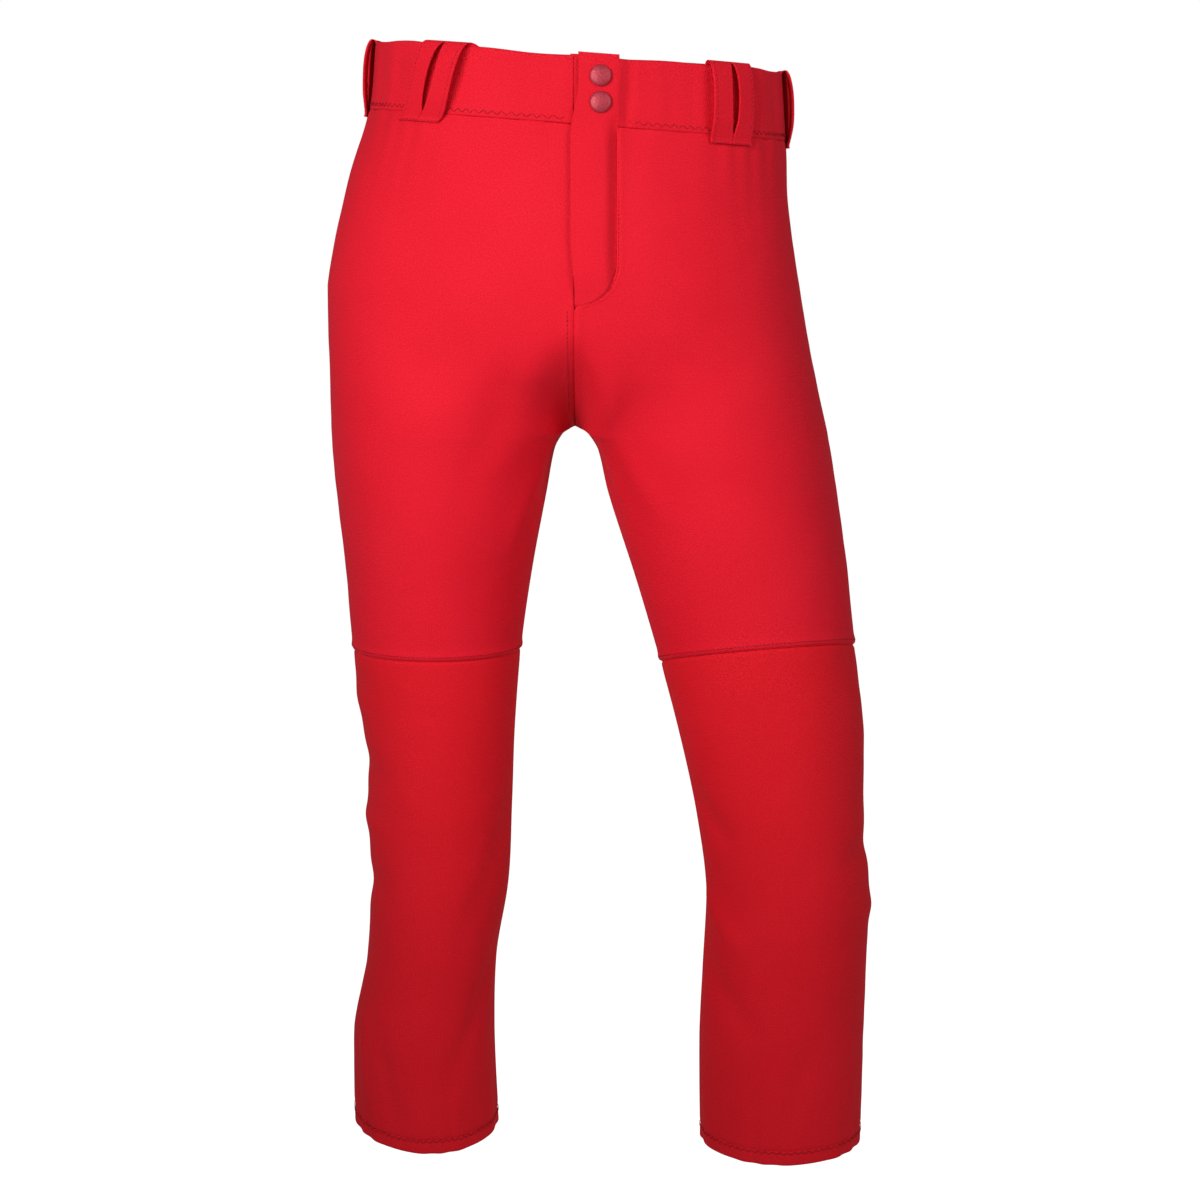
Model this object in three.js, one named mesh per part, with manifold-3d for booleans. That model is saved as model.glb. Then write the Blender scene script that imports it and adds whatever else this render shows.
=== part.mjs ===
// Belted softball pants in double-knit polyester, as worn: millimetres, +Z up, the wearer faces -Y.
// The origin is the centre of the waist opening. "Right" and "left" are the wearer's, so right is -X.
// Every fabric piece is a patch of one body surface, pushed in or out along its normal.
import * as THREE from "three";
import Module from "manifold-3d";
import { mergeVertices } from "three/addons/utils/BufferGeometryUtils.js";

// ---- Driving dimensions -------------------------------------------------------------------------
const CLOTH = 1.2; // panel fabric thickness
const GAP = 0.3; // air between neighbouring pieces
const FACET_AIR = 0.5; // more air where one piece lies along another's flat facets
const SEAM_U = 0.0006; // half of a panel seam, as a share of the way round
const RING_POWER = 2.2; // 2 is an ellipse, more is squarer

const BAND_HEIGHT = 48; // waistband, top edge to seam
const BAND_INNER = 1.0; // turned-in layer of the band
const ELASTIC = 1.2;
const CROTCH = 266; // depths of the crotch point, the knee seams and the hems below the waist centre
const KNEE_SEAM = 427;
const HEM = { right: 787, left: 792 };
const FRONT_RISE_CURVE = 81; // height of the part of each rise seam that turns under
const BACK_RISE_CURVE = 116;
const THIGH_TURN = { above: 116, below: 104, share: 0.27 }; // the seat becomes a thigh more slowly outside
const KNEE_PLY_TOP = 8; // second layer of the double knee, below the knee seam
const KNEE_PLY_LENGTH = 230;
const PANEL_STEPS = 12; // columns in a quarter of the way round
const BAND_STEPS = 22;
const LONGEST_FACET = 50;
const HEM_HEIGHT = 11;

const FLY_WIDTH = 29.7; // centre front to the J stitch
const FLY_LENGTH = 125; // band seam to the bottom of the J
const FLY_CURVE = 32; // height of the curved part of the J
const FLY_LIFT = 3.9; // how far the fly stands off over the zip
const FLY_OVERHANG = 2.5; // free edge past the centre front
const FACING = 0.9; // the fly's inner layer, and where it starts
const FACING_X = 17.5;

const SHIELD_DEPTH = 5.1; // how far in the fly shield lies
const ZIP_X = 9.5;
const ZIP_TOP = 53; // depths of the chain's two ends
const ZIP_BOTTOM = 160;
const TAPE = { width: 12, thick: 0.6, depth: 1.8, sewn: 6.35 }; // the left one is sewn that far from the J
const COIL = { width: 1.6, thick: 1.8, depth: 1.8, centreGap: 0.15 };
const SLIDER = { width: 9, length: 12, plate: 0.8 };
const BAIL = { height: 2.2, wide: 2, wire: 0.7, top: 2.5, bottom: 9.5 };
const PULL = { width: 6, length: 24, thick: 1.0, bar: 1.0, hole: 1.6 };

const SNAP_X = 18.4;
const SNAP_DEPTHS = { upper: 14, lower: 32 };
const CAP_RADIUS = 7.5; // 24-line press stud
const SNAP_SHANK = 1.6;
const STUD_RADIUS = 2.0;

const LOOP = { width: 34, slot: 5, top: -3, bottom: 54, stand: 8.4, cloth: 1.4 };
const LOOP_X = { right: [81, 109], left: [107, 109] }; // front loops, at their top and bottom
const SIDE_LOOP_U = 0.515;
const POCKET = { x: 80, width: 120, depth: 105, welt: 12, bag: 130 };
const WELT_OUT = 2;
const LABEL = { from: 4, to: 34, top: 12, bottom: 40, thick: 0.5 };

// Rings of the body surface, one row per depth: outer and inner reach from the centre plane,
// front and back reach, then tilts in degrees. Above the crotch a ring serves both legs.
const mix = (a, b, t) => a + (b - a) * t;
const hipAt = (t) => mix(BAND_HEIGHT, CROTCH, t);
const thighAt = (t) => mix(CROTCH, KNEE_SEAM, t);
const shinAt = (side, t) => mix(KNEE_SEAM, HEM[side], t);
const ring = (d, out, inn, front, back, roll = 0, pitch = 0) => ({ d, out, inn, front, back, roll, pitch });
const RINGS = {
  right: [
    ring(-6, 141, 0, 94.6, 94, 4.3),
    ring(0, 142, 0, 95, 95, 4.3),
    ring(BAND_HEIGHT, 147, 0, 99, 103, 4.3),
    ring(hipAt(0.2385), 163, 0, 102.2, 115, 3.4),
    ring(hipAt(0.5505), 178, 0, 106.4, 125, 1.8),
    ring(hipAt(0.8119), 177.5, 0, 106.5, 122, 0.5),
    ring(CROTCH, 176.5, 0, 101, 114),
    ring(thighAt(0.0186), 176.3, 6.5, 100, 113),
    ring(thighAt(0.0497), 176.1, 11, 99, 112),
    ring(thighAt(0.1056), 175.7, 15.5, 97, 110),
    ring(thighAt(0.2857), 173.5, 21, 90, 101),
    ring(thighAt(0.6398), 167, 31.7, 79, 84),
    ring(KNEE_SEAM, 162, 40, 73, 69),
    ring(shinAt("right", 0.161), 155, 44.6, 70, 59),
    ring(shinAt("right", 0.319), 151, 46.8, 66, 55, 0, 1),
    ring(shinAt("right", 0.48), 151, 49.7, 59, 58, 0, 3),
    ring(shinAt("right", 0.639), 154, 59, 49, 65, 0, 6),
    ring(shinAt("right", 0.8), 165.5, 61, 40, 74, 1, 9),
    ring(HEM.right, 166.5, 58.5, 31, 83, 3, 13),
  ],
  left: [
    ring(-6, 147.6, 0, 94.6, 94, 4.3),
    ring(0, 148, 0, 95, 95, 4.3),
    ring(BAND_HEIGHT, 151, 0, 99, 103, 4.3),
    ring(hipAt(0.2385), 153.5, 0, 102.2, 115, 3.4),
    ring(hipAt(0.5505), 163, 0, 106.4, 124, 1.8),
    ring(hipAt(0.8119), 173, 0, 106.8, 119, 0.5),
    ring(CROTCH, 182, 0, 104, 110),
    ring(thighAt(0.0186), 182.6, 6.5, 103.6, 108, 0, -1),
    ring(thighAt(0.0497), 183.4, 11.5, 103.2, 106, 0, -1.5),
    ring(thighAt(0.1056), 185, 17, 102.5, 102, 0, -2),
    ring(thighAt(0.2857), 189, 24.5, 100, 91, -1, -4),
    ring(thighAt(0.6398), 196.6, 44, 98, 67, -3, -8),
    ring(KNEE_SEAM, 201.6, 62, 99, 45, -5, -10),
    ring(shinAt("left", 0.159), 208, 77, 102, 31, -4, -9),
    ring(shinAt("left", 0.315), 209, 88.6, 101, 24, -2, -6),
    ring(shinAt("left", 0.474), 213.5, 95.8, 95, 26, -1, -3),
    ring(shinAt("left", 0.63), 212.5, 93.6, 86, 34, 0, 0),
    ring(shinAt("left", 0.789), 212, 91.5, 77, 43, 0, 3),
    ring(HEM.left, 211.5, 92.5, 67, 52, 0, 6),
  ],
};

const RED = 0xe31b2d;
const fabric = (color = RED) => new THREE.MeshStandardMaterial({ color, roughness: 0.85, metalness: 0 });
const enamel = new THREE.MeshStandardMaterial({ color: 0xc8323e, roughness: 0.45, metalness: 0.3 });
const brass = new THREE.MeshStandardMaterial({ color: 0xb9a067, roughness: 0.35, metalness: 1 });
const nylon = new THREE.MeshStandardMaterial({ color: 0xb01524, roughness: 0.5, metalness: 0 });
const cream = new THREE.MeshStandardMaterial({ color: 0xece6da, roughness: 0.9, metalness: 0 });

const pants = new THREE.Group();
const wasm = await Module();
wasm.setup();

// ---- The body surface ---------------------------------------------------------------------------
const degrees = Math.PI / 180;
const clamp = (x, low, high) => Math.min(high, Math.max(low, x));
const smooth = (t) => {
  const k = clamp(t, 0, 1);
  return k * k * (3 - 2 * k);
};
const signOf = (side) => (side === "left" ? 1 : -1);

// A ring between two rows of the table, on a smooth curve through them.
function ringAt(side, d) {
  const rows = RINGS[side];
  let i = rows.findIndex((row) => row.d > d) - 1;
  if (i === -2) i = rows.length - 2;
  i = clamp(i, 0, rows.length - 2);
  const [a, b] = [rows[i], rows[i + 1]];
  const before = rows[Math.max(0, i - 1)];
  const after = rows[Math.min(rows.length - 1, i + 2)];
  const span = b.d - a.d;
  const t = (d - a.d) / span;
  const made = { d };
  for (const key of ["out", "inn", "front", "back", "roll", "pitch"]) {
    const steep = (b[key] - a[key]) / span;
    const limit = (slope) => (steep === 0 ? 0 : clamp(slope / steep, 0, 2.5) * steep);
    const m0 = limit((b[key] - before[key]) / (b.d - before.d)) * span;
    const m1 = limit((after[key] - a[key]) / (after.d - a.d)) * span;
    const [t2, t3] = [t * t, t * t * t];
    made[key] =
      a[key] * (2 * t3 - 3 * t2 + 1) + m0 * (t3 - 2 * t2 + t) + b[key] * (3 * t2 - 2 * t3) + m1 * (t3 - t2);
  }
  return made;
}

const power = (x) => Math.sign(x) * Math.abs(x) ** (2 / RING_POWER);

// How far the rise seam has turned in from half a torso ring (0) to a whole leg ring (1).
function turned(curve, d) {
  const t = clamp(1 - (CROTCH - d) / curve, 0, 1);
  return 1 - Math.sqrt(1 - t * t);
}

// The same for any column: the seam turns sharply at the crotch, the outside of the leg slowly.
function legShareAt(u, d) {
  const atSeam = mix(turned(FRONT_RISE_CURVE, d), turned(BACK_RISE_CURVE, d), smooth(u));
  const outside = smooth((d - CROTCH + THIGH_TURN.above) / (THIGH_TURN.above + THIGH_TURN.below));
  return mix(atSeam, outside, smooth(Math.min(u, 1 - u) / THIGH_TURN.share));
}

// A point of the surface. u runs from the centre front (or the inseam) round the outside to the back.
function surface(side, u, d) {
  const r = ringAt(side, d);
  const legShare = legShareAt(u, d);
  const half = Math.PI * u;
  const torso = {
    x: r.out * power(Math.sin(half)),
    y: (half < Math.PI / 2 ? r.front : r.back) * -power(Math.cos(half)),
  };
  const centre = { x: (r.out + r.inn) / 2, y: (r.back - r.front) / 2 };
  const leg = {
    x: centre.x - ((r.out - r.inn) / 2) * Math.cos(2 * half),
    y: centre.y - ((r.front + r.back) / 2) * Math.sin(2 * half),
  };
  const x = Math.max(mix(torso.x, leg.x, legShare), GAP / 2) * signOf(side);
  const y = mix(torso.y, leg.y, legShare);
  const middle = { x: centre.x * legShare * signOf(side), y: centre.y * legShare };
  const z =
    -d - Math.tan(r.roll * degrees) * (x - middle.x) + Math.tan(r.pitch * degrees) * (y - middle.y);
  return new THREE.Vector3(x, y, z);
}

// The surface's outward normal there.
function normal(side, u, d) {
  const [du, dd] = [0.002, 0.5];
  const across = surface(side, Math.min(1, u + du), d).sub(surface(side, Math.max(0, u - du), d));
  const down = surface(side, u, d + dd).sub(surface(side, u, d - dd));
  return down.cross(across).multiplyScalar(signOf(side)).normalize();
}

const lifted = (side, u, d, off) => surface(side, u, d).addScaledVector(normal(side, u, d), off);

// u where the front (or back) of the surface lies x to the side of the centre plane.
function uAt(side, x, d, onBack = false) {
  let [low, high] = [0, 0.5];
  for (let i = 0; i < 40; i++) {
    const middle = (low + high) / 2;
    const at = surface(side, onBack ? 1 - middle : middle, d);
    if (Math.abs(at.x) < x) low = middle;
    else high = middle;
  }
  return onBack ? 1 - low : low;
}

// A point near the centre front by its own x, on either side of the centre plane.
function frontPoint(x, d, off) {
  const near = GAP / 2 + 0.01;
  const side = x < 0 ? "right" : "left";
  const at = lifted(side, uAt(side, Math.max(Math.abs(x), near), d), d, off);
  if (Math.abs(x) < near) at.x = x;
  return at;
}

// ---- Making solids ------------------------------------------------------------------------------
function geometryOf(points, triangles) {
  const g = new THREE.BufferGeometry();
  g.setAttribute("position", new THREE.Float32BufferAttribute(points.flatMap((p) => [p.x, p.y, p.z]), 3));
  g.setIndex(triangles);
  return faceOut(g);
}

// Turns a closed mesh so that its faces point out.
function faceOut(g) {
  const p = g.attributes.position;
  const index = g.index.array;
  const [a, b, c] = [new THREE.Vector3(), new THREE.Vector3(), new THREE.Vector3()];
  let volume = 0;
  for (let i = 0; i < index.length; i += 3) {
    a.fromBufferAttribute(p, index[i]);
    b.fromBufferAttribute(p, index[i + 1]);
    c.fromBufferAttribute(p, index[i + 2]);
    volume += a.dot(b.cross(c));
  }
  if (volume > 0) return g;
  const turnedRound = Array.from(index);
  for (let i = 0; i < turnedRound.length; i += 3)
    [turnedRound[i], turnedRound[i + 1]] = [turnedRound[i + 1], turnedRound[i]];
  g.setIndex(turnedRound);
  return g;
}

// Sweeps a closed loop of points, made by loopAt(step), over steps 0 to count.
function sweep(loopAt, count, closed = false) {
  const loops = Array.from({ length: closed ? count : count + 1 }, (_, i) => loopAt(i / count));
  const n = loops[0].length;
  const points = loops.flat();
  const triangles = [];
  for (let i = 0; i < count; i++) {
    const [row, next] = [i * n, ((i + 1) % loops.length) * n];
    for (let j = 0; j < n; j++) {
      const k = (j + 1) % n;
      triangles.push(row + j, row + k, next + k, row + j, next + k, next + j);
    }
  }
  if (!closed) {
    const flat = loopAt.cap.map((p) => new THREE.Vector2(...p));
    const clockwise = THREE.ShapeUtils.isClockWise(flat);
    const last = count * n;
    for (const corners of THREE.ShapeUtils.triangulateShape(flat, [])) {
      const sameWay = THREE.ShapeUtils.isClockWise(corners.map((i) => flat[i])) === clockwise;
      const [a, b, c] = sameWay ? corners : [...corners].reverse();
      triangles.push(c, b, a, last + a, last + b, last + c);
    }
  }
  return geometryOf(points, triangles);
}

// A thin slab of cloth: at(a, b, layer) gives its outer (0) and inner (1) points, a and b from 0 to 1.
function slab(at, acrossSteps, rows) {
  const wide = acrossSteps + 1;
  const points = [];
  for (const layer of [0, 1])
    for (const b of rows) for (let i = 0; i < wide; i++) points.push(at(i / acrossSteps, b, layer));
  const inner = wide * rows.length;
  const triangles = [];
  const quad = (p, q, r, s) => triangles.push(p, q, r, p, r, s);
  for (let j = 0; j < rows.length - 1; j++)
    for (let i = 0; i < acrossSteps; i++) {
      const p = j * wide + i;
      quad(p, p + 1, p + 1 + wide, p + wide);
      quad(inner + p, inner + p + wide, inner + p + 1 + wide, inner + p + 1);
    }
  const last = (rows.length - 1) * wide;
  for (let i = 0; i < acrossSteps; i++) {
    quad(i, inner + i, inner + i + 1, i + 1);
    quad(last + i, last + i + 1, inner + last + i + 1, inner + last + i);
  }
  for (let j = 0; j < rows.length - 1; j++) {
    const p = j * wide;
    quad(p, p + wide, inner + p + wide, inner + p);
    quad(p + acrossSteps, inner + p + acrossSteps, inner + p + acrossSteps + wide, p + acrossSteps + wide);
  }
  return geometryOf(points, triangles);
}

const evenly = (n) => Array.from({ length: n + 1 }, (_, i) => i / n);

function add(name, geometry, material, parent = pants) {
  const mesh = new THREE.Mesh(geometry, material);
  mesh.name = name;
  parent.add(mesh);
  return mesh;
}

function solid(geometry) {
  const bare = geometry.index ? geometry.clone() : mergeVertices(geometry);
  bare.deleteAttribute("normal");
  bare.deleteAttribute("uv");
  const g = mergeVertices(bare, 1e-4);
  return new wasm.Manifold(
    new wasm.Mesh({
      numProp: 3,
      vertProperties: new Float32Array(g.attributes.position.array),
      triVerts: new Uint32Array(g.index.array),
    }),
  );
}

function meshOf(made) {
  const m = made.getMesh();
  const g = new THREE.BufferGeometry();
  g.setAttribute("position", new THREE.BufferAttribute(m.vertProperties, 3));
  g.setIndex(new THREE.BufferAttribute(m.triVerts, 1));
  return g;
}

const joined = (...parts) => meshOf(parts.map(solid).reduce((a, b) => a.add(b)));
const cut = (body, ...tools) => meshOf(tools.map(solid).reduce((a, b) => a.subtract(b), solid(body)));

function box(x0, x1, y0, y1, z0, z1) {
  const block = new THREE.BoxGeometry(x1 - x0, y1 - y0, z1 - z0);
  return block.translate((x0 + x1) / 2, (y0 + y1) / 2, (z0 + z1) / 2);
}

// ---- Leg panels ---------------------------------------------------------------------------------
// Rows are close together where the rise seam turns under the crotch.
const FLY_BOTTOM = BAND_HEIGHT + FLY_LENGTH;
const easeOut = (n) => evenly(n).map((t) => Math.sin((t * Math.PI) / 2));

// Rows down the fly, close together round the J's curve.
function flyRows() {
  const curveTop = FLY_BOTTOM - FLY_CURVE;
  const straight = evenly(3).map((t) => mix(BAND_HEIGHT + GAP, curveTop, t));
  return [...straight, ...easeOut(5).slice(1).map((t) => curveTop + FLY_CURVE * t)];
}

// Puts rows in where two are too far apart for flat facets to follow the curve.
function filled(rows) {
  return rows.flatMap((d, i) => {
    const span = i === 0 ? 0 : d - rows[i - 1];
    const pieces = Math.ceil(span / LONGEST_FACET);
    return pieces > 1 ? evenly(pieces).slice(1).map((t) => mix(rows[i - 1], d, t)) : [d];
  });
}

function thighRows() {
  const under = easeOut(6).map((t) => CROTCH - FRONT_RISE_CURVE * (1 - t));
  const legTop = [0.02, 0.06, 0.14, 0.27, 0.45, 0.7].map((t) => mix(CROTCH, KNEE_SEAM, t));
  return filled([...flyRows(), ...under, ...legTop, KNEE_SEAM - GAP / 2]);
}

// How far the J stitch lies from the centre front at a depth.
function jStitch(d) {
  const below = clamp((d - (FLY_BOTTOM - FLY_CURVE)) / FLY_CURVE, 0, 1);
  return FLY_WIDTH * Math.sqrt(1 - below * below);
}

function panel(side, uFrom, uTo, depths, across, layers = [0, -CLOTH]) {
  const at = (a, b, layer) => {
    const d = depths[Math.round(b * (depths.length - 1))];
    const from = typeof uFrom === "function" ? uFrom(d) : uFrom;
    return lifted(side, mix(from, uTo, a), d, layers[layer]);
  };
  return slab(at, across, evenly(depths.length - 1));
}

const leftFrontEdge = (d) => {
  const x = d < FLY_BOTTOM ? jStitch(d) + GAP : 0;
  return Math.max(uAt("left", x, d), SEAM_U);
};

function legPanels(side) {
  const frontEdge = side === "left" ? leftFrontEdge : () => SEAM_U;
  const thigh = thighRows();
  const [front, back] = [0.5 - SEAM_U, 0.5 + SEAM_U];
  add(`front_panel_${side}`, panel(side, frontEdge, front, thigh, PANEL_STEPS), fabric());
  add(`back_panel_${side}`, panel(side, back, 1 - SEAM_U, thigh, PANEL_STEPS), fabric());
  const [top, bottom] = [KNEE_SEAM + GAP / 2, HEM[side] - HEM_HEIGHT];
  const shin = evenly(9).map((t) => mix(top, bottom, t));
  add(`knee_panel_${side}`, panel(side, SEAM_U, front, shin, PANEL_STEPS), fabric());
  add(`calf_panel_${side}`, panel(side, back, 1 - SEAM_U, shin, PANEL_STEPS), fabric());
  // The second layer has the knee panel's own rows and columns, so that it lies flat behind it.
  const inFirst = KNEE_PLY_TOP + top;
  const ply = [inFirst, ...shin.filter((d) => d > inFirst + 5 && d < top + KNEE_PLY_LENGTH)];
  const plyLayers = [-CLOTH - GAP, -CLOTH - GAP - 1];
  const inset = front / PANEL_STEPS;
  add(`knee_ply_${side}`, panel(side, inset, front - inset, ply, PANEL_STEPS - 2, plyLayers), fabric());
}

// A ring of cloth whose section is a loop of [offset, depth] pairs.
function clothRing(side, section, steps) {
  const loopAt = (t) => section.map(([off, d]) => lifted(side, t, d, off));
  return sweep(loopAt, steps, true);
}

function seamAndHem(side) {
  const seamIn = -CLOTH - GAP - FACET_AIR;
  const tape = [
    [seamIn, KNEE_SEAM - 4],
    [seamIn, KNEE_SEAM + 4],
    [seamIn - 0.8, KNEE_SEAM + 4],
    [seamIn - 0.8, KNEE_SEAM - 4],
  ];
  add(`knee_seam_tape_${side}`, clothRing(side, tape, 2 * PANEL_STEPS), fabric());
  const [top, bottom] = [HEM[side] - HEM_HEIGHT + GAP, HEM[side]];
  const insideWall = -CLOTH - 2 * GAP - ELASTIC;
  const fold = [
    [0, top],
    [0, bottom],
    [insideWall - BAND_INNER, bottom],
    [insideWall - BAND_INNER, top],
    [insideWall, top],
    [insideWall, bottom - CLOTH],
    [-CLOTH, bottom - CLOTH],
    [-CLOTH, top],
  ];
  add(`hem_band_${side}`, clothRing(side, fold, 2 * PANEL_STEPS), fabric());
  const elasticOut = -CLOTH - GAP;
  const elastic = [
    [elasticOut, top + 0.5],
    [elasticOut, bottom - CLOTH - GAP],
    [elasticOut - ELASTIC, bottom - CLOTH - GAP],
    [elasticOut - ELASTIC, top + 0.5],
  ];
  add(`hem_elastic_${side}`, clothRing(side, elastic, 2 * PANEL_STEPS), cream);
}

// ---- Waistband ----------------------------------------------------------------------------------
const bandInside = -CLOTH - 2 * GAP - ELASTIC;
function waistband(side) {
  const section = [
    [0, BAND_HEIGHT],
    [0, 0],
    [bandInside - BAND_INNER, 0],
    [bandInside - BAND_INNER, BAND_HEIGHT - 2],
    [bandInside, BAND_HEIGHT - 2],
    [bandInside, CLOTH],
    [-CLOTH, CLOTH],
    [-CLOTH, BAND_HEIGHT],
  ];
  const frontX = side === "left" ? FLY_WIDTH + GAP : GAP;
  const loopAt = (t) =>
    section.map(([off, d]) => lifted(side, mix(uAt(side, frontX, d), 1 - SEAM_U, t), d, off));
  loopAt.cap = section;
  add(`waistband_${side}`, sweep(loopAt, BAND_STEPS), fabric());
}

// The elastic runs in both halves of the band, from the fly round the back to the fly.
function waistElastic() {
  const [top, bottom] = [CLOTH + GAP, BAND_HEIGHT - 3];
  const out = -CLOTH - GAP;
  const section = [
    [out, top],
    [out, bottom],
    [out - ELASTIC, bottom],
    [out - ELASTIC, top],
  ];
  const end = 1 - SEAM_U;
  const loopAt = (t) =>
    section.map(([off, d]) => {
      const side = t < 0.5 ? "right" : "left";
      const frontX = side === "left" ? FLY_WIDTH + GAP + 1 : GAP + 1;
      const away = 1 - Math.abs(2 * t - 1);
      const p = lifted(side, mix(uAt(side, frontX, d), end, away), d, off);
      if (Math.abs(t - 0.5) < 1e-6) p.x = 0;
      return p;
    });
  loopAt.cap = section;
  add("waist_elastic", sweep(loopAt, 2 * BAND_STEPS), cream);
}

function beltLoop(name, side, place) {
  const across = LOOP.width / 2;
  // Width is stepped along the surface from the loop's middle line.
  const uNear = (b, s) => {
    const d = mix(LOOP.top, LOOP.bottom, b);
    const u = place(b);
    const [from, to] = [u - 0.002, Math.min(1, u + 0.002)];
    const speed = surface(side, to, d).distanceTo(surface(side, from, d)) / (to - from);
    return u + s / speed;
  };
  const foot = GAP + FACET_AIR;
  const arch = (b) => Math.sin(Math.PI * clamp((b - 0.05) / 0.87, 0, 1)) ** 0.8;
  const stand = (b) => foot + (LOOP.stand - foot) * arch(b);
  const point = (b, s, off) => {
    const d = mix(LOOP.top, LOOP.bottom, b);
    let [onSide, u] = [side, uNear(b, s)];
    if (u > 1) [onSide, u] = [side === "left" ? "right" : "left", 2 - u];
    return lifted(onSide, u, Math.max(d, -5), off);
  };
  const at = (a, b, layer) => point(b, mix(-across, across, a), stand(b) + (layer ? 0 : LOOP.cloth));
  const strip = slab(at, 4, evenly(8));
  const slotAt = (a, b, layer) =>
    point(mix(0.13, 0.84, b), mix(-LOOP.slot / 2, LOOP.slot / 2, a), layer ? -2 : LOOP.stand + 6);
  add(name, cut(strip, slab(slotAt, 1, evenly(4))), fabric());
}

function beltLoops() {
  for (const side of ["right", "left"]) {
    const [top, bottom] = LOOP_X[side];
    const onFront = (b) => uAt(side, mix(top, bottom, b), mix(LOOP.top, LOOP.bottom, b));
    beltLoop(`belt_loop_front_${side}`, side, onFront);
    beltLoop(`belt_loop_side_${side}`, side, () => SIDE_LOOP_U);
    const x = POCKET.x + 8;
    beltLoop(`belt_loop_back_${side}`, side, (b) => uAt(side, x, mix(LOOP.top, LOOP.bottom, b), true));
  }
  beltLoop("belt_loop_centre_back", "left", () => 1);
}

// ---- Fly ----------------------------------------------------------------------------------------
// The fly and the waist tab lie flat at the J stitch and stand off over the zip and the snaps.
function flyLift(x, d) {
  const acrossFly = smooth((FLY_WIDTH - x) / 8);
  const above = smooth((FLY_BOTTOM + 4 - d) / 30);
  return FLY_LIFT * acrossFly * above;
}

const facingOut = (x, d) => flyLift(x, d) - CLOTH - GAP - FACET_AIR / 2;
const freeEdge = (d) => mix(-FLY_OVERHANG, GAP, smooth((d - 125) / 40));

function flyFlap() {
  const rows = flyRows().slice(0, -1);
  const at = (a, b, layer) => {
    const row = Math.round(b * (rows.length - 1));
    const d = rows[row];
    const edge = row === rows.length - 1 ? 0.8 * jStitch(d) : jStitch(d);
    const x = mix(freeEdge(d), edge, a);
    return frontPoint(x, d, flyLift(x, d) - layer * CLOTH);
  };
  add("fly_flap", slab(at, 9, evenly(rows.length - 1)), fabric());
  const facingAt = (a, b, layer) => {
    const d = mix(BAND_HEIGHT + 2, FLY_BOTTOM - FLY_CURVE, b);
    const x = mix(FACING_X, FLY_WIDTH - 0.5, a);
    return frontPoint(x, d, facingOut(x, d) - layer * FACING);
  };
  add("fly_facing", slab(facingAt, 5, evenly(3)), fabric());
  const shieldAt = (a, b, layer) => {
    const d = mix(BAND_HEIGHT + 1, FLY_BOTTOM + 6, b);
    return frontPoint(mix(-4, FLY_WIDTH + 3, a), d, -SHIELD_DEPTH - layer * CLOTH);
  };
  add("fly_shield", slab(shieldAt, 6, evenly(6)), fabric());
}

// A frame on the surface: x to the wearer's left, y inwards, z up the fly.
function frontFrame(x, dTop, dBottom) {
  const [top, bottom] = [frontPoint(x, dTop, 0), frontPoint(x, dBottom, 0)];
  const up = top.clone().sub(bottom).normalize();
  const right = new THREE.Vector3(1, 0, 0);
  const inwards = up.clone().cross(right).normalize();
  const group = new THREE.Group();
  group.matrixAutoUpdate = false;
  group.matrix.makeBasis(right, inwards, up).setPosition(top);
  return { group, length: top.distanceTo(bottom) };
}

// Lathe profile [radius, height] about the snap's axis, height outwards from the surface.
const turnedPart = (profile) =>
  new THREE.LatheGeometry(profile.map((p) => new THREE.Vector2(...p)), 16).rotateX(Math.PI);

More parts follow.
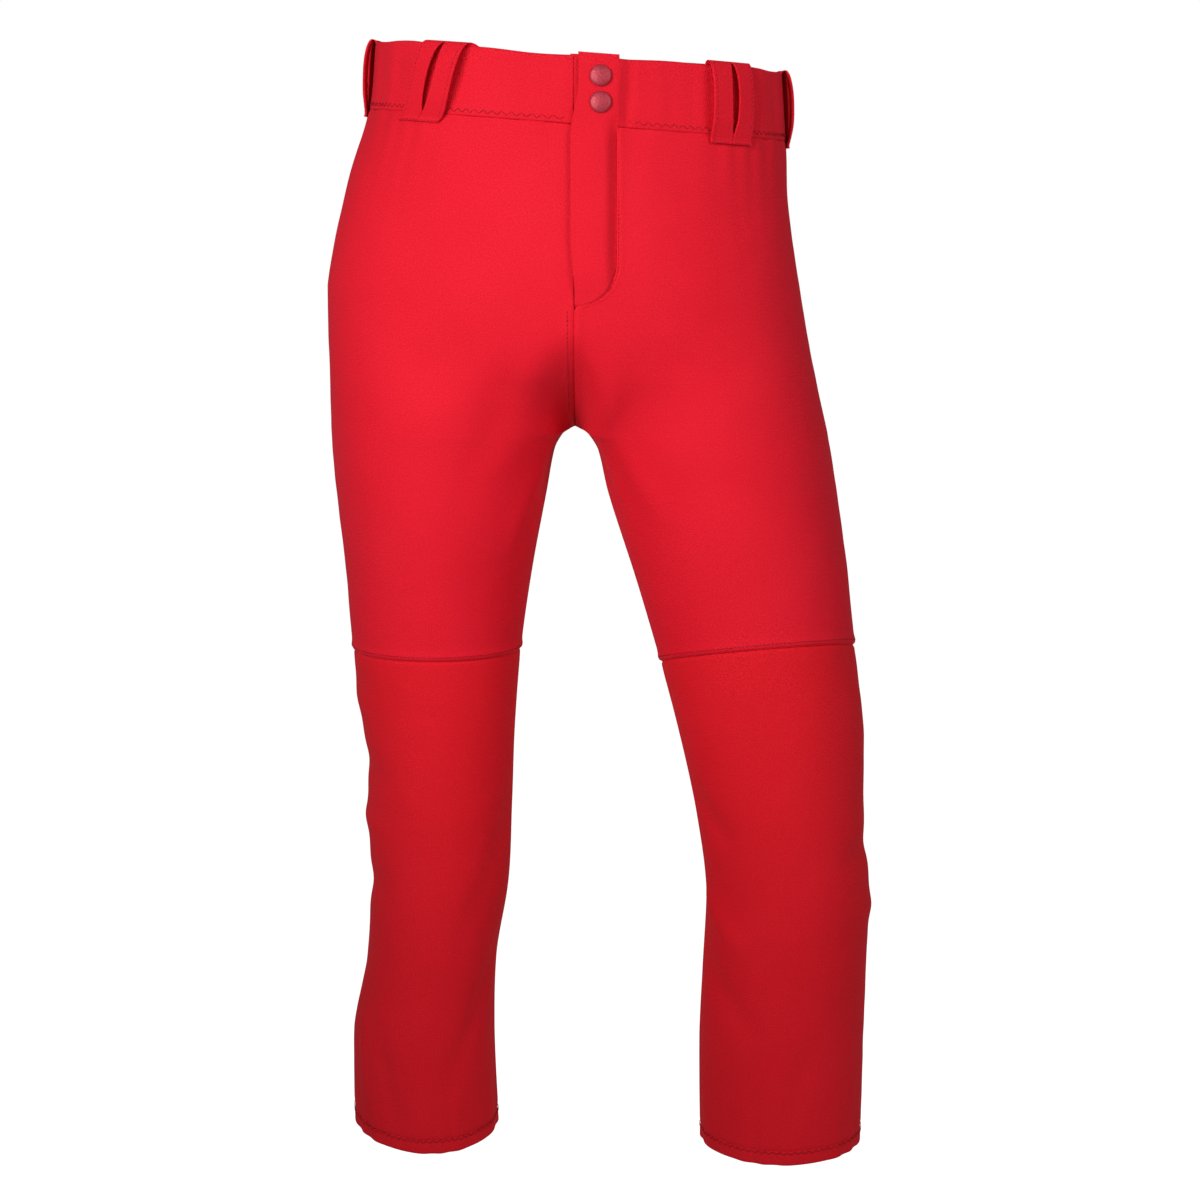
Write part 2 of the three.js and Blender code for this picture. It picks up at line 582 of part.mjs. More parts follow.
function snaps() {
  const tabInside = FLY_LIFT - CLOTH; // the tab's two faces, outwards from the surface
  const tabOutside = FLY_LIFT + 0.2;
  const hole = SNAP_SHANK + GAP;
  const underlap = { out: -1.0, in: -3.2 };
  const places = {};
  for (const [which, depth] of Object.entries(SNAP_DEPTHS)) {
    places[which] = frontFrame(SNAP_X, depth, depth + 12).group;
    pants.add(places[which]);
  }
  const drills = (radius, from, to) =>
    Object.values(places).map((group) =>
      new THREE.CylinderGeometry(radius, radius, to - from, 16)
        .translate(0, -(from + to) / 2, 0)
        .applyMatrix4(group.matrix),
    );
  const tabAt = (a, b, layer) => {
    const d = mix(-1, BAND_HEIGHT - GAP, b);
    const x = mix(-FLY_OVERHANG, FLY_WIDTH, a);
    const lift = FLY_LIFT * smooth((FLY_WIDTH - x) / 3.5);
    return frontPoint(x, d, lift - (layer ? CLOTH : -0.2));
  };
  add("waist_tab", cut(slab(tabAt, 8, evenly(4)), ...drills(hole, 1, 6)), fabric());
  const underlapAt = (a, b, layer) => {
    const d = mix(0, BAND_HEIGHT - 1, b);
    return frontPoint(mix(GAP, FLY_WIDTH - 1, a), d, layer ? underlap.in : underlap.out);
  };
  add("waist_underlap", cut(slab(underlapAt, 6, evenly(3)), ...drills(hole, -5, 0)), fabric());
  const studBase = underlap.out + GAP;
  const studTop = 1.9;
  const socket = { bottom: 0.4, top: tabInside - GAP - FACET_AIR / 2 };
  const capBottom = tabOutside + 2 * GAP;
  const shankEnd = studTop + GAP;
  const rivetTop = underlap.in - GAP - FACET_AIR / 2;
  for (const [which, group] of Object.entries(places)) {
    const cap = [
      [0, shankEnd],
      [SNAP_SHANK, shankEnd],
      [SNAP_SHANK, capBottom],
      [CAP_RADIUS - 0.3, capBottom],
      [CAP_RADIUS, capBottom + 0.4],
      [CAP_RADIUS - 0.7, capBottom + 1.1],
      [CAP_RADIUS * 0.6, capBottom + 1.8],
      [0, capBottom + 2.1],
    ];
    add(`snap_cap_${which}`, turnedPart(cap), enamel, group);
    const ringHole = STUD_RADIUS + 0.5;
    const socketRing = [
      [ringHole, socket.bottom],
      [5.2, socket.bottom],
      [5.6, socket.bottom + 0.5],
      [5.6, socket.top],
      [ringHole, socket.top],
      [ringHole, socket.bottom],
    ];
    add(`snap_socket_${which}`, turnedPart(socketRing), brass, group);
    const stud = [
      [0, studBase],
      [5.2, studBase],
      [5.2, socket.bottom - GAP],
      [STUD_RADIUS - 0.3, socket.bottom - GAP],
      [STUD_RADIUS, 1.2],
      [STUD_RADIUS - 0.3, studTop],
      [0, studTop],
    ];
    add(`snap_stud_${which}`, turnedPart(stud), brass, group);
    const rivet = [
      [0, rivetTop - 0.9],
      [5.2, rivetTop - 0.9],
      [5.4, rivetTop],
      [SNAP_SHANK, rivetTop],
      [SNAP_SHANK, studBase - GAP],
      [0, studBase - GAP],
    ];
    add(`snap_rivet_${which}`, turnedPart(rivet), brass, group);
  }
}

function zip() {
  const { group, length } = frontFrame(ZIP_X, ZIP_TOP, ZIP_BOTTOM);
  pants.add(group);
  const coilFar = COIL.centreGap + COIL.width;
  const [coilOut, coilIn] = [COIL.depth, COIL.depth + COIL.thick];
  for (const side of ["right", "left"]) {
    const s = signOf(side);
    const span = (a, b, ...rest) => box(Math.min(s * a, s * b), Math.max(s * a, s * b), ...rest);
    // The left tape climbs from the chain to the facing that it is sewn to.
    const tapeAt = (a, b, layer) => {
      const d = mix(ZIP_TOP - 3, ZIP_BOTTOM + 3, b);
      const toJ = Math.min(FLY_WIDTH - TAPE.sewn, jStitch(d) - 1) - ZIP_X - coilFar;
      const width = side === "left" ? toJ : TAPE.width;
      const x = ZIP_X + s * (coilFar + 0.1 + a * width);
      const facing = facingOut(x, d) - FACING - GAP;
      const off = side === "left" ? mix(-TAPE.depth, facing, smooth((a - 0.33) / 0.5)) : -TAPE.depth;
      return frontPoint(x, d, off - layer * TAPE.thick);
    };
    add(`zip_tape_${side}`, slab(tapeAt, 6, evenly(5)), nylon);
    add(`zip_coil_${side}`, span(COIL.centreGap, coilFar, coilOut, coilIn, -length, 0), nylon, group);
    add(`zip_top_stop_${side}`, span(COIL.centreGap, coilFar, coilOut, coilIn, GAP, 2.5), brass, group);
  }
  const stopOut = coilOut - GAP;
  const stop = box(-coilFar, coilFar, stopOut - 0.4, coilIn, -length - 2.8, -length - GAP);
  add("zip_bottom_stop", stop, brass, group);

  const plateOut = coilOut - GAP - SLIDER.plate;
  const plateIn = coilIn + GAP + SLIDER.plate;
  const w = SLIDER.width / 2;
  const outline = new THREE.Shape();
  outline.moveTo(-w * 0.62, -SLIDER.length);
  outline.lineTo(w * 0.62, -SLIDER.length);
  outline.quadraticCurveTo(w, -SLIDER.length * 0.6, w, -SLIDER.length * 0.25);
  outline.quadraticCurveTo(w, 0, w * 0.5, 0);
  outline.lineTo(-w * 0.5, 0);
  outline.quadraticCurveTo(-w, 0, -w, -SLIDER.length * 0.25);
  outline.quadraticCurveTo(-w, -SLIDER.length * 0.6, -w * 0.62, -SLIDER.length);
  const extrude = { depth: plateIn - plateOut, bevelEnabled: false, curveSegments: 6 };
  const block = new THREE.ExtrudeGeometry(outline, extrude).rotateX(Math.PI / 2).translate(0, plateIn, 0);
  const between = box(-w - 1, w + 1, coilOut - GAP, coilIn + GAP, -SLIDER.length - 1, 1);
  // One post ties the plates above the closed chain, as the slider's wedge does.
  const post = COIL.centreGap - 0.02;
  const wedge = box(-post, post, plateOut, plateIn, -SLIDER.length * 0.4, 0);
  const { height, wide, wire, top, bottom } = BAIL;
  const bailOut = plateOut - height;
  const half = wide / 2;
  const bail = box(-half, half, bailOut, plateOut + 0.2, -bottom, -top);
  const eye = box(-half - 1, half + 1, bailOut + wire, plateOut, wire - bottom, -top - wire);
  add("zip_slider", joined(cut(block, between), wedge, cut(bail, eye)), brass, group);

  const barY = (bailOut + wire + plateOut) / 2;
  const [barTop, tip] = [top + 1.5, top + 1.5 + PULL.length];
  const p = PULL.width / 2;
  const plate = box(-p, p, barY - PULL.thick / 2, barY + PULL.thick / 2, -tip, -barTop);
  const windowBottom = bottom + 0.4;
  const window = box(-half - 0.5, half + 0.5, barY - 3, barY + 3, -windowBottom, -barTop - PULL.bar);
  const tipHole = box(-PULL.hole, PULL.hole, barY - 3, barY + 3, 2.5 - tip, 7 - tip);
  add("zip_pull", cut(plate, window, tipHole), brass, group);
}

// ---- Pockets and label --------------------------------------------------------------------------
function backPockets() {
  for (const side of ["right", "left"]) {
    const across = (d, s) => uAt(side, POCKET.x + s, d, true);
    const weltAt = (a, b, layer) => {
      const d = POCKET.depth + b * POCKET.welt;
      const s = mix(-POCKET.width / 2, POCKET.width / 2, a);
      return lifted(side, across(d, s), d, layer ? GAP + FACET_AIR : WELT_OUT);
    };
    add(`pocket_welt_${side}`, slab(weltAt, 10, evenly(2)), fabric());
    const bagAt = (a, b, layer) => {
      const d = POCKET.depth + b * POCKET.bag;
      const half = (POCKET.width / 2 - 4) * (1 - 0.25 * b);
      return lifted(side, across(d, mix(-half, half, a)), d, -CLOTH - GAP - 3 * FACET_AIR - layer * 0.8);
    };
    add(`pocket_bag_${side}`, slab(bagAt, 8, evenly(6)), cream);
  }
  const labelOut = bandInside - BAND_INNER - GAP;
  const labelAt = (a, b, layer) => {
    const d = mix(LABEL.top, LABEL.bottom, b);
    const x = mix(LABEL.from, LABEL.to, a);
    return lifted("left", uAt("left", x, d, true), d, labelOut - layer * LABEL.thick);
  };
  add("care_label", slab(labelAt, 4, evenly(2)), cream);
}

for (const side of ["right", "left"]) {
  legPanels(side);
  seamAndHem(side);
  waistband(side);
}
waistElastic();
beltLoops();
flyFlap();
snaps();
zip();
backPockets();

export default pants;
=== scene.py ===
import math
import bpy
import numpy as np
from mathutils import Matrix, Vector, noise


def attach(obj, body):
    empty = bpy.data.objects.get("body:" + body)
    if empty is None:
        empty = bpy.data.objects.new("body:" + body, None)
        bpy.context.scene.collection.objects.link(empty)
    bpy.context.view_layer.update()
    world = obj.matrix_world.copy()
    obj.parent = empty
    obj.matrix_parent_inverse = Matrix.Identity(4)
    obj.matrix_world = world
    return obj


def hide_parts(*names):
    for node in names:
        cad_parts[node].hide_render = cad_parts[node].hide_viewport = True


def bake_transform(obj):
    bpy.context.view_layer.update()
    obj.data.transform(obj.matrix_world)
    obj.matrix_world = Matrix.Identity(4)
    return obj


# Red belted softball pants, as worn: knit cloth panels, waistband, fly, zip, studs, loops and hems

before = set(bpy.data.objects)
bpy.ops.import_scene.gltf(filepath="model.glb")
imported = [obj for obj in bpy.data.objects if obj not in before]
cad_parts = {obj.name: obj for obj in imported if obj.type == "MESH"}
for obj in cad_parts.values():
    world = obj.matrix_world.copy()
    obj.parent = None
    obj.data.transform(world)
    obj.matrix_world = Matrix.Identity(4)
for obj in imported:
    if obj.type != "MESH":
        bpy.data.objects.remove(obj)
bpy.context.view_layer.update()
mm = 0.001
sides = ("right", "left")
print("stage: frame loaded", len(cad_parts), "nodes")

# sizes in mm, the same as the part's own
cloth = {"thick": 1.2, "sewnGap": 0.02, "ringPower": 2.2}
hemHeight = 11
rise = {"band": 48, "crotch": 266, "kneeSeam": 427, "hem": {"right": 787, "left": 792}}
turn = {"front": 81, "back": 116, "above": 116, "below": 104, "share": 0.27, "soft": 0.6, "ease": 34,
        "spread": 36}
flySize = {"width": 29.7, "length": 125, "curve": 32, "lift": 3.9, "overhang": 2.5, "shieldDepth": 5.1}
flyBottom = rise["band"] + flySize["length"]


# body surface: the part's rings and formula, eased just below the crotch and drawn in there
def between(a, b, t):
    return a + (b - a) * t


def hipAt(t):
    return between(rise["band"], rise["crotch"], t)


def thighAt(t):
    return between(rise["crotch"], rise["kneeSeam"], t)


def shinAt(side, t):
    return between(rise["kneeSeam"], rise["hem"][side], t)


# depth, outer, inner, front and back reach, roll, pitch
rings = {
    "right": [
        (-6, 141, 0, 94.6, 94, 4.3, 0),
        (0, 142, 0, 95, 95, 4.3, 0),
        (rise["band"], 147, 0, 99, 103, 4.3, 0),
        (hipAt(0.2385), 163, 0, 102.2, 115, 3.4, 0),
        (hipAt(0.5505), 178, 0, 106.4, 125, 1.8, 0),
        (hipAt(0.8119), 177.5, 0, 106.5, 122, 0.5, 0),
        (rise["crotch"], 176.5, 0, 101, 114, 0, 0),
        (thighAt(0.0186), 176.3, 6.5, 100.4, 113, 0, 0),
        (thighAt(0.0497), 176.1, 11, 99.2, 112, 0, 0),
        (thighAt(0.1056), 175.7, 15.5, 97, 110, 0, 0),
        (thighAt(0.2857), 173.5, 21, 90, 101, 0, 0),
        (thighAt(0.6398), 167, 31.7, 79, 84, 0, 0),
        (rise["kneeSeam"], 162, 40, 73, 69, 0, 0),
        (shinAt("right", 0.161), 155, 44.6, 70, 59, 0, 0),
        (shinAt("right", 0.319), 151, 46.8, 66, 55, 0, 1),
        (shinAt("right", 0.48), 151, 49.7, 59, 58, 0, 3),
        (shinAt("right", 0.639), 154, 59, 49, 65, 0, 6),
        (shinAt("right", 0.8), 165.5, 61, 40, 74, 1, 9),
        (rise["hem"]["right"], 166.5, 58.5, 31, 83, 3, 13),
    ],
    "left": [
        (-6, 147.6, 0, 94.6, 94, 4.3, 0),
        (0, 148, 0, 95, 95, 4.3, 0),
        (rise["band"], 151, 0, 99, 103, 4.3, 0),
        (hipAt(0.2385), 153.5, 0, 102.2, 115, 3.4, 0),
        (hipAt(0.5505), 163, 0, 106.4, 124, 1.8, 0),
        (hipAt(0.8119), 173, 0, 106.8, 119, 0.5, 0),
        (rise["crotch"], 182, 0, 104, 110, 0, 0),
        (thighAt(0.0186), 182.6, 6.5, 103.8, 108.8, 0, -0.2),
        (thighAt(0.0497), 183.4, 11.5, 103.4, 107.2, 0, -0.6),
        (thighAt(0.1056), 185, 17, 102.7, 103.6, 0, -1.5),
        (thighAt(0.2857), 189, 24.5, 100, 91, -1, -4),
        (thighAt(0.6398), 196.6, 44, 98, 67, -3, -8),
        (rise["kneeSeam"], 201.6, 62, 99, 45, -5, -10),
        (shinAt("left", 0.159), 208, 77, 102, 31, -4, -9),
        (shinAt("left", 0.315), 209, 88.6, 101, 24, -2, -6),
        (shinAt("left", 0.474), 213.5, 95.8, 95, 26, -1, -3),
        (shinAt("left", 0.63), 212.5, 93.6, 86, 34, 0, 0),
        (shinAt("left", 0.789), 212, 91.5, 77, 43, 0, 3),
        (rise["hem"]["left"], 211.5, 92.5, 67, 52, 0, 6),
    ],
}


def smooth(t):
    k = np.clip(t, 0, 1)
    return k * k * (3 - 2 * k)


# each ring value on a fine list of depths, on the same limited Hermite curve as the part
def ringCurves(side):
    rows = rings[side]
    depths = np.arange(rows[0][0], rows[-1][0] + 1, 1.0)
    made = np.zeros((len(depths), 6))
    for n, d in enumerate(depths):
        i = next((k for k, row in enumerate(rows) if row[0] > d), len(rows) - 1) - 1
        i = min(max(i, 0), len(rows) - 2)
        a, b = rows[i], rows[i + 1]
        before, after = rows[max(0, i - 1)], rows[min(len(rows) - 1, i + 2)]
        span = b[0] - a[0]
        t = (d - a[0]) / span
        for k in range(6):
            steep = (b[k + 1] - a[k + 1]) / span
            ends = []
            for lo, hi in ((before, b), (a, after)):
                slope = (hi[k + 1] - lo[k + 1]) / (hi[0] - lo[0])
                ends.append(0 if steep == 0 else min(2.5, max(0, slope / steep)) * steep * span)
            made[n, k] = (
                a[k + 1] * (2 * t**3 - 3 * t**2 + 1)
                + ends[0] * (t**3 - 2 * t**2 + t)
                + b[k + 1] * (3 * t**2 - 2 * t**3)
                + ends[1] * (t**3 - t**2)
            )
    # the thigh away from the inseam follows the crotch arch only gently
    window = np.hanning(2 * turn["spread"] + 1)
    padded = np.pad(made[:, 1], turn["spread"], mode="edge")
    gentle = np.convolve(padded, window / window.sum(), "valid")
    return depths, np.column_stack([made, gentle])


curves = {side: ringCurves(side) for side in sides}
signOf = {"right": -1, "left": 1}


def power(x):
    return np.sign(x) * np.abs(x) ** (2 / cloth["ringPower"])


def turned(height, d):
    t = np.clip(1 - (rise["crotch"] - d) / height, 0, 1)
    return 1 - np.sqrt(1 - t * t)


# away from the seam the cloth eases over the turn instead of breaking at it
def eased(height, d):
    return smooth((d - rise["crotch"] + height) / (height + turn["ease"])) ** 2


# the rise seam is drawn in between the thighs: a soft hollow on the right thigh, a sharp crease on the left
crotch = {"deep": 27, "from": 190, "wide": {"right": 22, "left": 10}, "backWide": 26,
          "lip": {"right": 0.5, "left": 3}}
aroundMm = 450  # half way round, to turn u into mm


def crotchHollow(side, u, d):
    down = smooth((d - crotch["from"]) / 66)
    fall = down * smooth((rise["crotch"] + 75 - d) / 75)
    front = np.exp(-((u * aroundMm / (crotch["wide"][side] * between(0.4, 1, down))) ** 2))
    back = np.exp(-(((1 - u) * aroundMm / crotch["backWide"]) ** 2)) * smooth((d - 236) / 30)
    return crotch["deep"] * fall * (front + back)


# point of the surface in mm: u runs from the centre front round the outside to the centre back
def surface(side, u, d):
    u, d = np.broadcast_arrays(np.asarray(u, float), np.asarray(d, float))
    depths, table = curves[side]
    out, inn, front, back, roll, pitch, gentle = (np.interp(d, depths, table[:, k]) for k in range(7))
    inn = between(inn, gentle, smooth(np.minimum(u, 1 - u) / 0.11))
    atSeam = between(turned(turn["front"], d), turned(turn["back"], d), smooth(u))
    beside = between(eased(turn["front"], d), eased(turn["back"], d), smooth(u))
    atSeam = between(atSeam, beside, smooth(np.minimum(u, 1 - u) / 0.06))
    outside = smooth((d - rise["crotch"] + turn["above"]) / (turn["above"] + turn["below"]))
    share = between(atSeam, outside, smooth(np.minimum(u, 1 - u) / turn["share"]) ** turn["soft"])
    half = math.pi * u
    torsoX = out * power(np.sin(half))
    torsoY = np.where(half < math.pi / 2, front, back) * -power(np.cos(half))
    midX, midY = (out + inn) / 2, (back - front) / 2
    legX = midX - (out - inn) / 2 * np.cos(2 * half)
    legY = midY - (front + back) / 2 * np.sin(2 * half)
    x = np.maximum(between(torsoX, legX, share), cloth["sewnGap"] / 2) * signOf[side]
    y = between(torsoY, legY, share) + crotchHollow(side, u, d)
    z = -d - np.tan(np.radians(roll)) * (x - midX * share * signOf[side])
    z = z + np.tan(np.radians(pitch)) * (y - midY * share)
    return np.stack([x, y, z], -1)


def normalAt(side, u, d):
    u, d = np.broadcast_arrays(np.asarray(u, float), np.asarray(d, float))
    across = surface(side, np.minimum(1, u + 0.002), d) - surface(side, np.maximum(0, u - 0.002), d)
    down = surface(side, u, d + 0.5) - surface(side, u, d - 0.5)
    n = np.cross(down, across) * signOf[side]
    return n / np.linalg.norm(n, axis=-1, keepdims=True)


def lifted(side, u, d, off):
    return surface(side, u, d) + normalAt(side, u, d) * np.asarray(off, float)[..., None]


# u at which the front (or back) lies x mm from the centre plane
def uAt(side, x, d, onBack=False):
    x, d = np.broadcast_arrays(np.asarray(x, float), np.asarray(d, float))
    low, high = np.zeros(x.shape), np.full(x.shape, 0.5)
    for _ in range(30):
        mid = (low + high) / 2
        inside = np.abs(surface(side, 1 - mid if onBack else mid, d)[..., 0]) < x
        low, high = np.where(inside, mid, low), np.where(inside, high, mid)
    return 1 - low if onBack else low


# point near the centre front by its own x, either side of the centre plane
def frontPoint(x, d, off):
    x, d, off = np.broadcast_arrays(np.asarray(x, float), np.asarray(d, float), np.asarray(off, float))
    near = cloth["sewnGap"] / 2 + 0.01
    reach = np.maximum(np.abs(x), near)
    made = {s: lifted(s, uAt(s, reach, d), d, off) for s in sides}
    at = np.where((x < 0)[..., None], made["right"], made["left"])
    at[..., 0] = np.where(np.abs(x) < near, x, at[..., 0])
    return at


def jStitch(d):
    below = np.clip((np.asarray(d, float) - (flyBottom - flySize["curve"])) / flySize["curve"], 0, 1)
    return flySize["width"] * np.sqrt(1 - below * below)


# materials
def srgb(code):
    parts = [int(code[i : i + 2], 16) / 255 for i in (1, 3, 5)]
    return tuple(c / 12.92 if c <= 0.04045 else ((c + 0.055) / 1.055) ** 2.4 for c in parts) + (1.0,)


def addNode(material, kind, settings=None, links=()):
    node = material.node_tree.nodes.new(kind)
    for key, value in (settings or {}).items():
        if isinstance(key, int) or key in node.inputs:
            node.inputs[key].default_value = value
        else:
            setattr(node, key, value)
    for socket, source in links:
        material.node_tree.links.new(source, node.inputs[socket])
    return node


def newMaterial(name):
    material = bpy.data.materials.new(name)
    material.use_nodes = True
    return material, material.node_tree.nodes["Principled BSDF"]


def colourRamp(material, source, stops):
    ramp = addNode(material, "ShaderNodeValToRGB", {}, [("Fac", source)])
    elements = ramp.color_ramp.elements
    while len(elements) < len(stops):
        elements.new(0.5)
    for element, (place, code) in zip(elements, stops):
        element.position = place
        element.color = srgb(code)
    return ramp.outputs["Color"]


# double-knit polyester: matt, soft sheen, fine rows of knit; UV is in metres along the cloth
knit = {"rowSpacing": 0.0016, "heatherGrain": 0.0011, "bump": 0.25, "roughness": 0.8, "sheen": 0.12}


def knitCloth(name, light, mid, dark, sheenTint):
    material, shader = newMaterial(name)
    uv = addNode(material, "ShaderNodeUVMap", {"uv_map": "clothUv"}).outputs["UV"]
    grain = addNode(material, "ShaderNodeTexNoise",
                    {"Scale": 1 / knit["heatherGrain"], "Detail": 3.0, "Roughness": 0.6},
                    [("Vector", uv)]).outputs["Fac"]
    cloudy = addNode(material, "ShaderNodeTexNoise", {"Scale": 9.0, "Detail": 2.0},
                     [("Vector", uv)]).outputs["Fac"]
    mixed = addNode(material, "ShaderNodeMath", {"operation": "MULTIPLY_ADD", 1: 0.35},
                    [(0, cloudy), (2, grain)]).outputs[0]
    centred = addNode(material, "ShaderNodeMath", {"operation": "MULTIPLY", 1: 0.75},
                      [(0, mixed)]).outputs[0]
    colour = colourRamp(material, centred, [(0.25, dark), (0.5, mid), (0.75, light)])
    material.node_tree.links.new(colour, shader.inputs["Base Color"])
    # loops of the knit: ribs across rows, drawn about twice as coarse as the yarn so that they show
    ribs = [addNode(material, "ShaderNodeTexWave", {"bands_direction": way,
                                                    "Scale": math.pi / (10 * knit["rowSpacing"]),
                    "Distortion": 0.6, "Detail": 1.0}, [("Vector", uv)]).outputs["Fac"]
                    for way in ("X", "Y")]
    weave = addNode(material, "ShaderNodeMath", {"operation": "MULTIPLY"},
                    [(0, ribs[0]), (1, ribs[1])]).outputs[0]
    height = addNode(material, "ShaderNodeMath", {"operation": "MULTIPLY_ADD", 1: 0.5},
                     [(0, grain), (2, weave)]).outputs[0]
    bump = addNode(material, "ShaderNodeBump", {"Strength": knit["bump"], "Distance": 0.0004},
                   [("Height", height)])
    material.node_tree.links.new(bump.outputs["Normal"], shader.inputs["Normal"])
    shader.inputs["Roughness"].default_value = knit["roughness"]
    shader.inputs["Sheen Weight"].default_value = knit["sheen"]
    shader.inputs["Sheen Roughness"].default_value = 0.45
    shader.inputs["Sheen Tint"].default_value = srgb(sheenTint)
    shader.inputs["Specular IOR Level"].default_value = 0.15
    return material


# plain woven or ribbed goods on the same UV: elastic, pocketing, tape, satin ribbon
def wovenCloth(name, light, dark, spacing, roughness, bumpDepth):
    material, shader = newMaterial(name)
    uv = addNode(material, "ShaderNodeUVMap", {"uv_map": "clothUv"}).outputs["UV"]
    threads = [addNode(material, "ShaderNodeTexWave",
                       {"bands_direction": way, "Scale": math.pi / (10 * spacing),
                       "Distortion": 0.3}, [("Vector", uv)]).outputs["Fac"] for way in ("X", "Y")]
    weave = addNode(material, "ShaderNodeMath", {"operation": "MULTIPLY"},
                    [(0, threads[0]), (1, threads[1])]).outputs[0]
    material.node_tree.links.new(colourRamp(material, weave, [(0.0, dark), (0.6, light)]),
                                 shader.inputs["Base Color"])
    bump = addNode(material, "ShaderNodeBump", {"Strength": 0.5, "Distance": bumpDepth},
                   [("Height", weave)])
    material.node_tree.links.new(bump.outputs["Normal"], shader.inputs["Normal"])
    shader.inputs["Roughness"].default_value = roughness
    shader.inputs["Specular IOR Level"].default_value = 0.25
    return material


# hard trims read Object coordinates
def trimMetal(name, light, dark, metallic, roughness, speckle):
    material, shader = newMaterial(name)
    place = addNode(material, "ShaderNodeTexCoord").outputs["Object"]
    grain = addNode(material, "ShaderNodeTexNoise", {"Scale": 1 / speckle, "Detail": 4.0, "Roughness": 0.7},
                    [("Vector", place)]).outputs["Fac"]
    material.node_tree.links.new(colourRamp(material, grain, [(0.35, dark), (0.65, light)]),
                                 shader.inputs["Base Color"])
    bump = addNode(material, "ShaderNodeBump", {"Strength": 0.35, "Distance": 0.0002}, [("Height", grain)])
    material.node_tree.links.new(bump.outputs["Normal"], shader.inputs["Normal"])
    shader.inputs["Metallic"].default_value = metallic
    shader.inputs["Roughness"].default_value = roughness
    return material


materials = {
    "knit": knitCloth("doubleKnitPolyester", "#EE2236", "#E2152A", "#D40D20", "#FF6078"),
    # the knee is two layers of the same knit; this slightly darker, less blue copy of the knit on the knee,
    # calf, hem bands and knee tape is painted shade for the light falling off down the lower legs
    "knit_dark": knitCloth("lowerLegKnitPaintedShade", "#EC2032", "#E01524", "#D30C1B", "#FC5C68"),
    "thread": wovenCloth("spunPolyesterThread", "#B01425", "#8E0C1A", 0.0006, 0.6, 0.0001),
    "elastic": wovenCloth("wovenRubberElastic", "#EFE9DE", "#C9C0B0", 0.0018, 0.85, 0.0005),
    "pocketing": wovenCloth("cottonPocketing", "#EBE7DC", "#D3CDBE", 0.001, 0.9, 0.0002),
    "zip_nylon": wovenCloth("dyedNylonTape", "#C8182A", "#8E0E1C", 0.0012, 0.55, 0.0002),
    "label": wovenCloth("satinRibbon", "#F7F7F4", "#E8E8E4", 0.0005, 0.35, 0.0001),
    # baked enamel on a pebbled cap: the lighter pink specks in its colour are painted highlights, as if the
    # pebbles caught the light
    "snap_enamel": trimMetal("pebbledRedEnamelPaintedGlints", "#C2384A", "#8E1426", 0.3, 0.45, 0.0007),
    "stud_brass": trimMetal("stampedBrass", "#C9A968", "#A88A4C", 1.0, 0.32, 0.002),
    "coil": trimMetal("mouldedNylonCoil", "#B8172A", "#98101F", 0.0, 0.35, 0.001),
}
print("stage: materials", len(materials))


# mesh helpers
def meshObject(name, points, faces, uvs, slot, body=None, replaced=()):
    mesh = bpy.data.meshes.new(name)
    mesh.from_pydata((points * mm).tolist(), [], faces.tolist() if hasattr(faces, "tolist") else faces)
    if uvs is not None:
        layer = mesh.uv_layers.new(name="clothUv")
        corner = np.zeros(len(mesh.loops), dtype=np.int32)
        mesh.loops.foreach_get("vertex_index", corner)
        layer.data.foreach_set("uv", uvs[corner].astype(np.float32).ravel())
    mesh.polygons.foreach_set("use_smooth", np.ones(len(mesh.polygons), dtype=bool))
    mesh.update()
    piece = bpy.data.objects.new(name, mesh)
    bpy.context.scene.collection.objects.link(piece)
    mesh.materials.append(materials[slot])
    if body:
        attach(piece, body)
    if replaced:
        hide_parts(*replaced)
    return piece


def gridFaces(rows, cols, start=0, flip=False, wrap=False):
    i = np.arange(rows - 1)[:, None] * cols
    j = np.arange(cols if wrap else cols - 1)[None, :]
    k = (j + 1) % cols
    quads = np.stack([i + j, i + k, i + k + cols, i + j + cols], -1).reshape(-1, 4) + start
    return quads[:, ::-1] if flip else quads


# a closed slab from its outer and inner grids (rows down the cloth, columns across it)
def slab(name, outer, inner, slot, body=None, replaced=(), wrap=False):
    rows, cols = outer.shape[:2]
    n = rows * cols
    across = outer[:-1, 1:] - outer[:-1, :-1]
    down = outer[1:, :-1] - outer[:-1, :-1]
    flip = np.sum(np.cross(across, down) * (outer - inner)[:-1, :-1]) < 0
    faces = [gridFaces(rows, cols, 0, flip, wrap), gridFaces(rows, cols, n, not flip, wrap)]
    for column in () if wrap else (0, cols - 1):
        a = np.arange(rows - 1) * cols + column
        quad = np.stack([a, a + cols, a + cols + n, a + n], -1)
        faces.append(quad if (column == 0) != flip else quad[:, ::-1])
    for row in (0, rows - 1):
        j = np.arange(cols if wrap else cols - 1)
        a, b = row * cols + j, row * cols + (j + 1) % cols
        quad = np.stack([a, a + n, b + n, b], -1)
        faces.append(quad if (row == 0) != flip else quad[:, ::-1])
    points = np.concatenate([outer.reshape(-1, 3), inner.reshape(-1, 3)])
    uvs = np.concatenate([clothUv(outer).reshape(-1, 2)] * 2)
    return meshObject(name, points, np.concatenate(faces), uvs, slot, body, replaced)


# distances along the grid's middle row and column, in metres, as the cloth's UV
def clothUv(points):
    down = np.linalg.norm(np.diff(points, axis=0), axis=-1)
    across = np.linalg.norm(np.diff(points, axis=1), axis=-1)
    v = np.concatenate([np.zeros((1, points.shape[1])), np.cumsum(down, 0)])
    u = np.concatenate([np.zeros((points.shape[0], 1)), np.cumsum(across, 1)], 1)
    u = u - u[:, points.shape[1] // 2][:, None]
    v = np.repeat(v[:, points.shape[1] // 2][:, None], points.shape[1], 1)
    return np.stack([u, v], -1) * mm


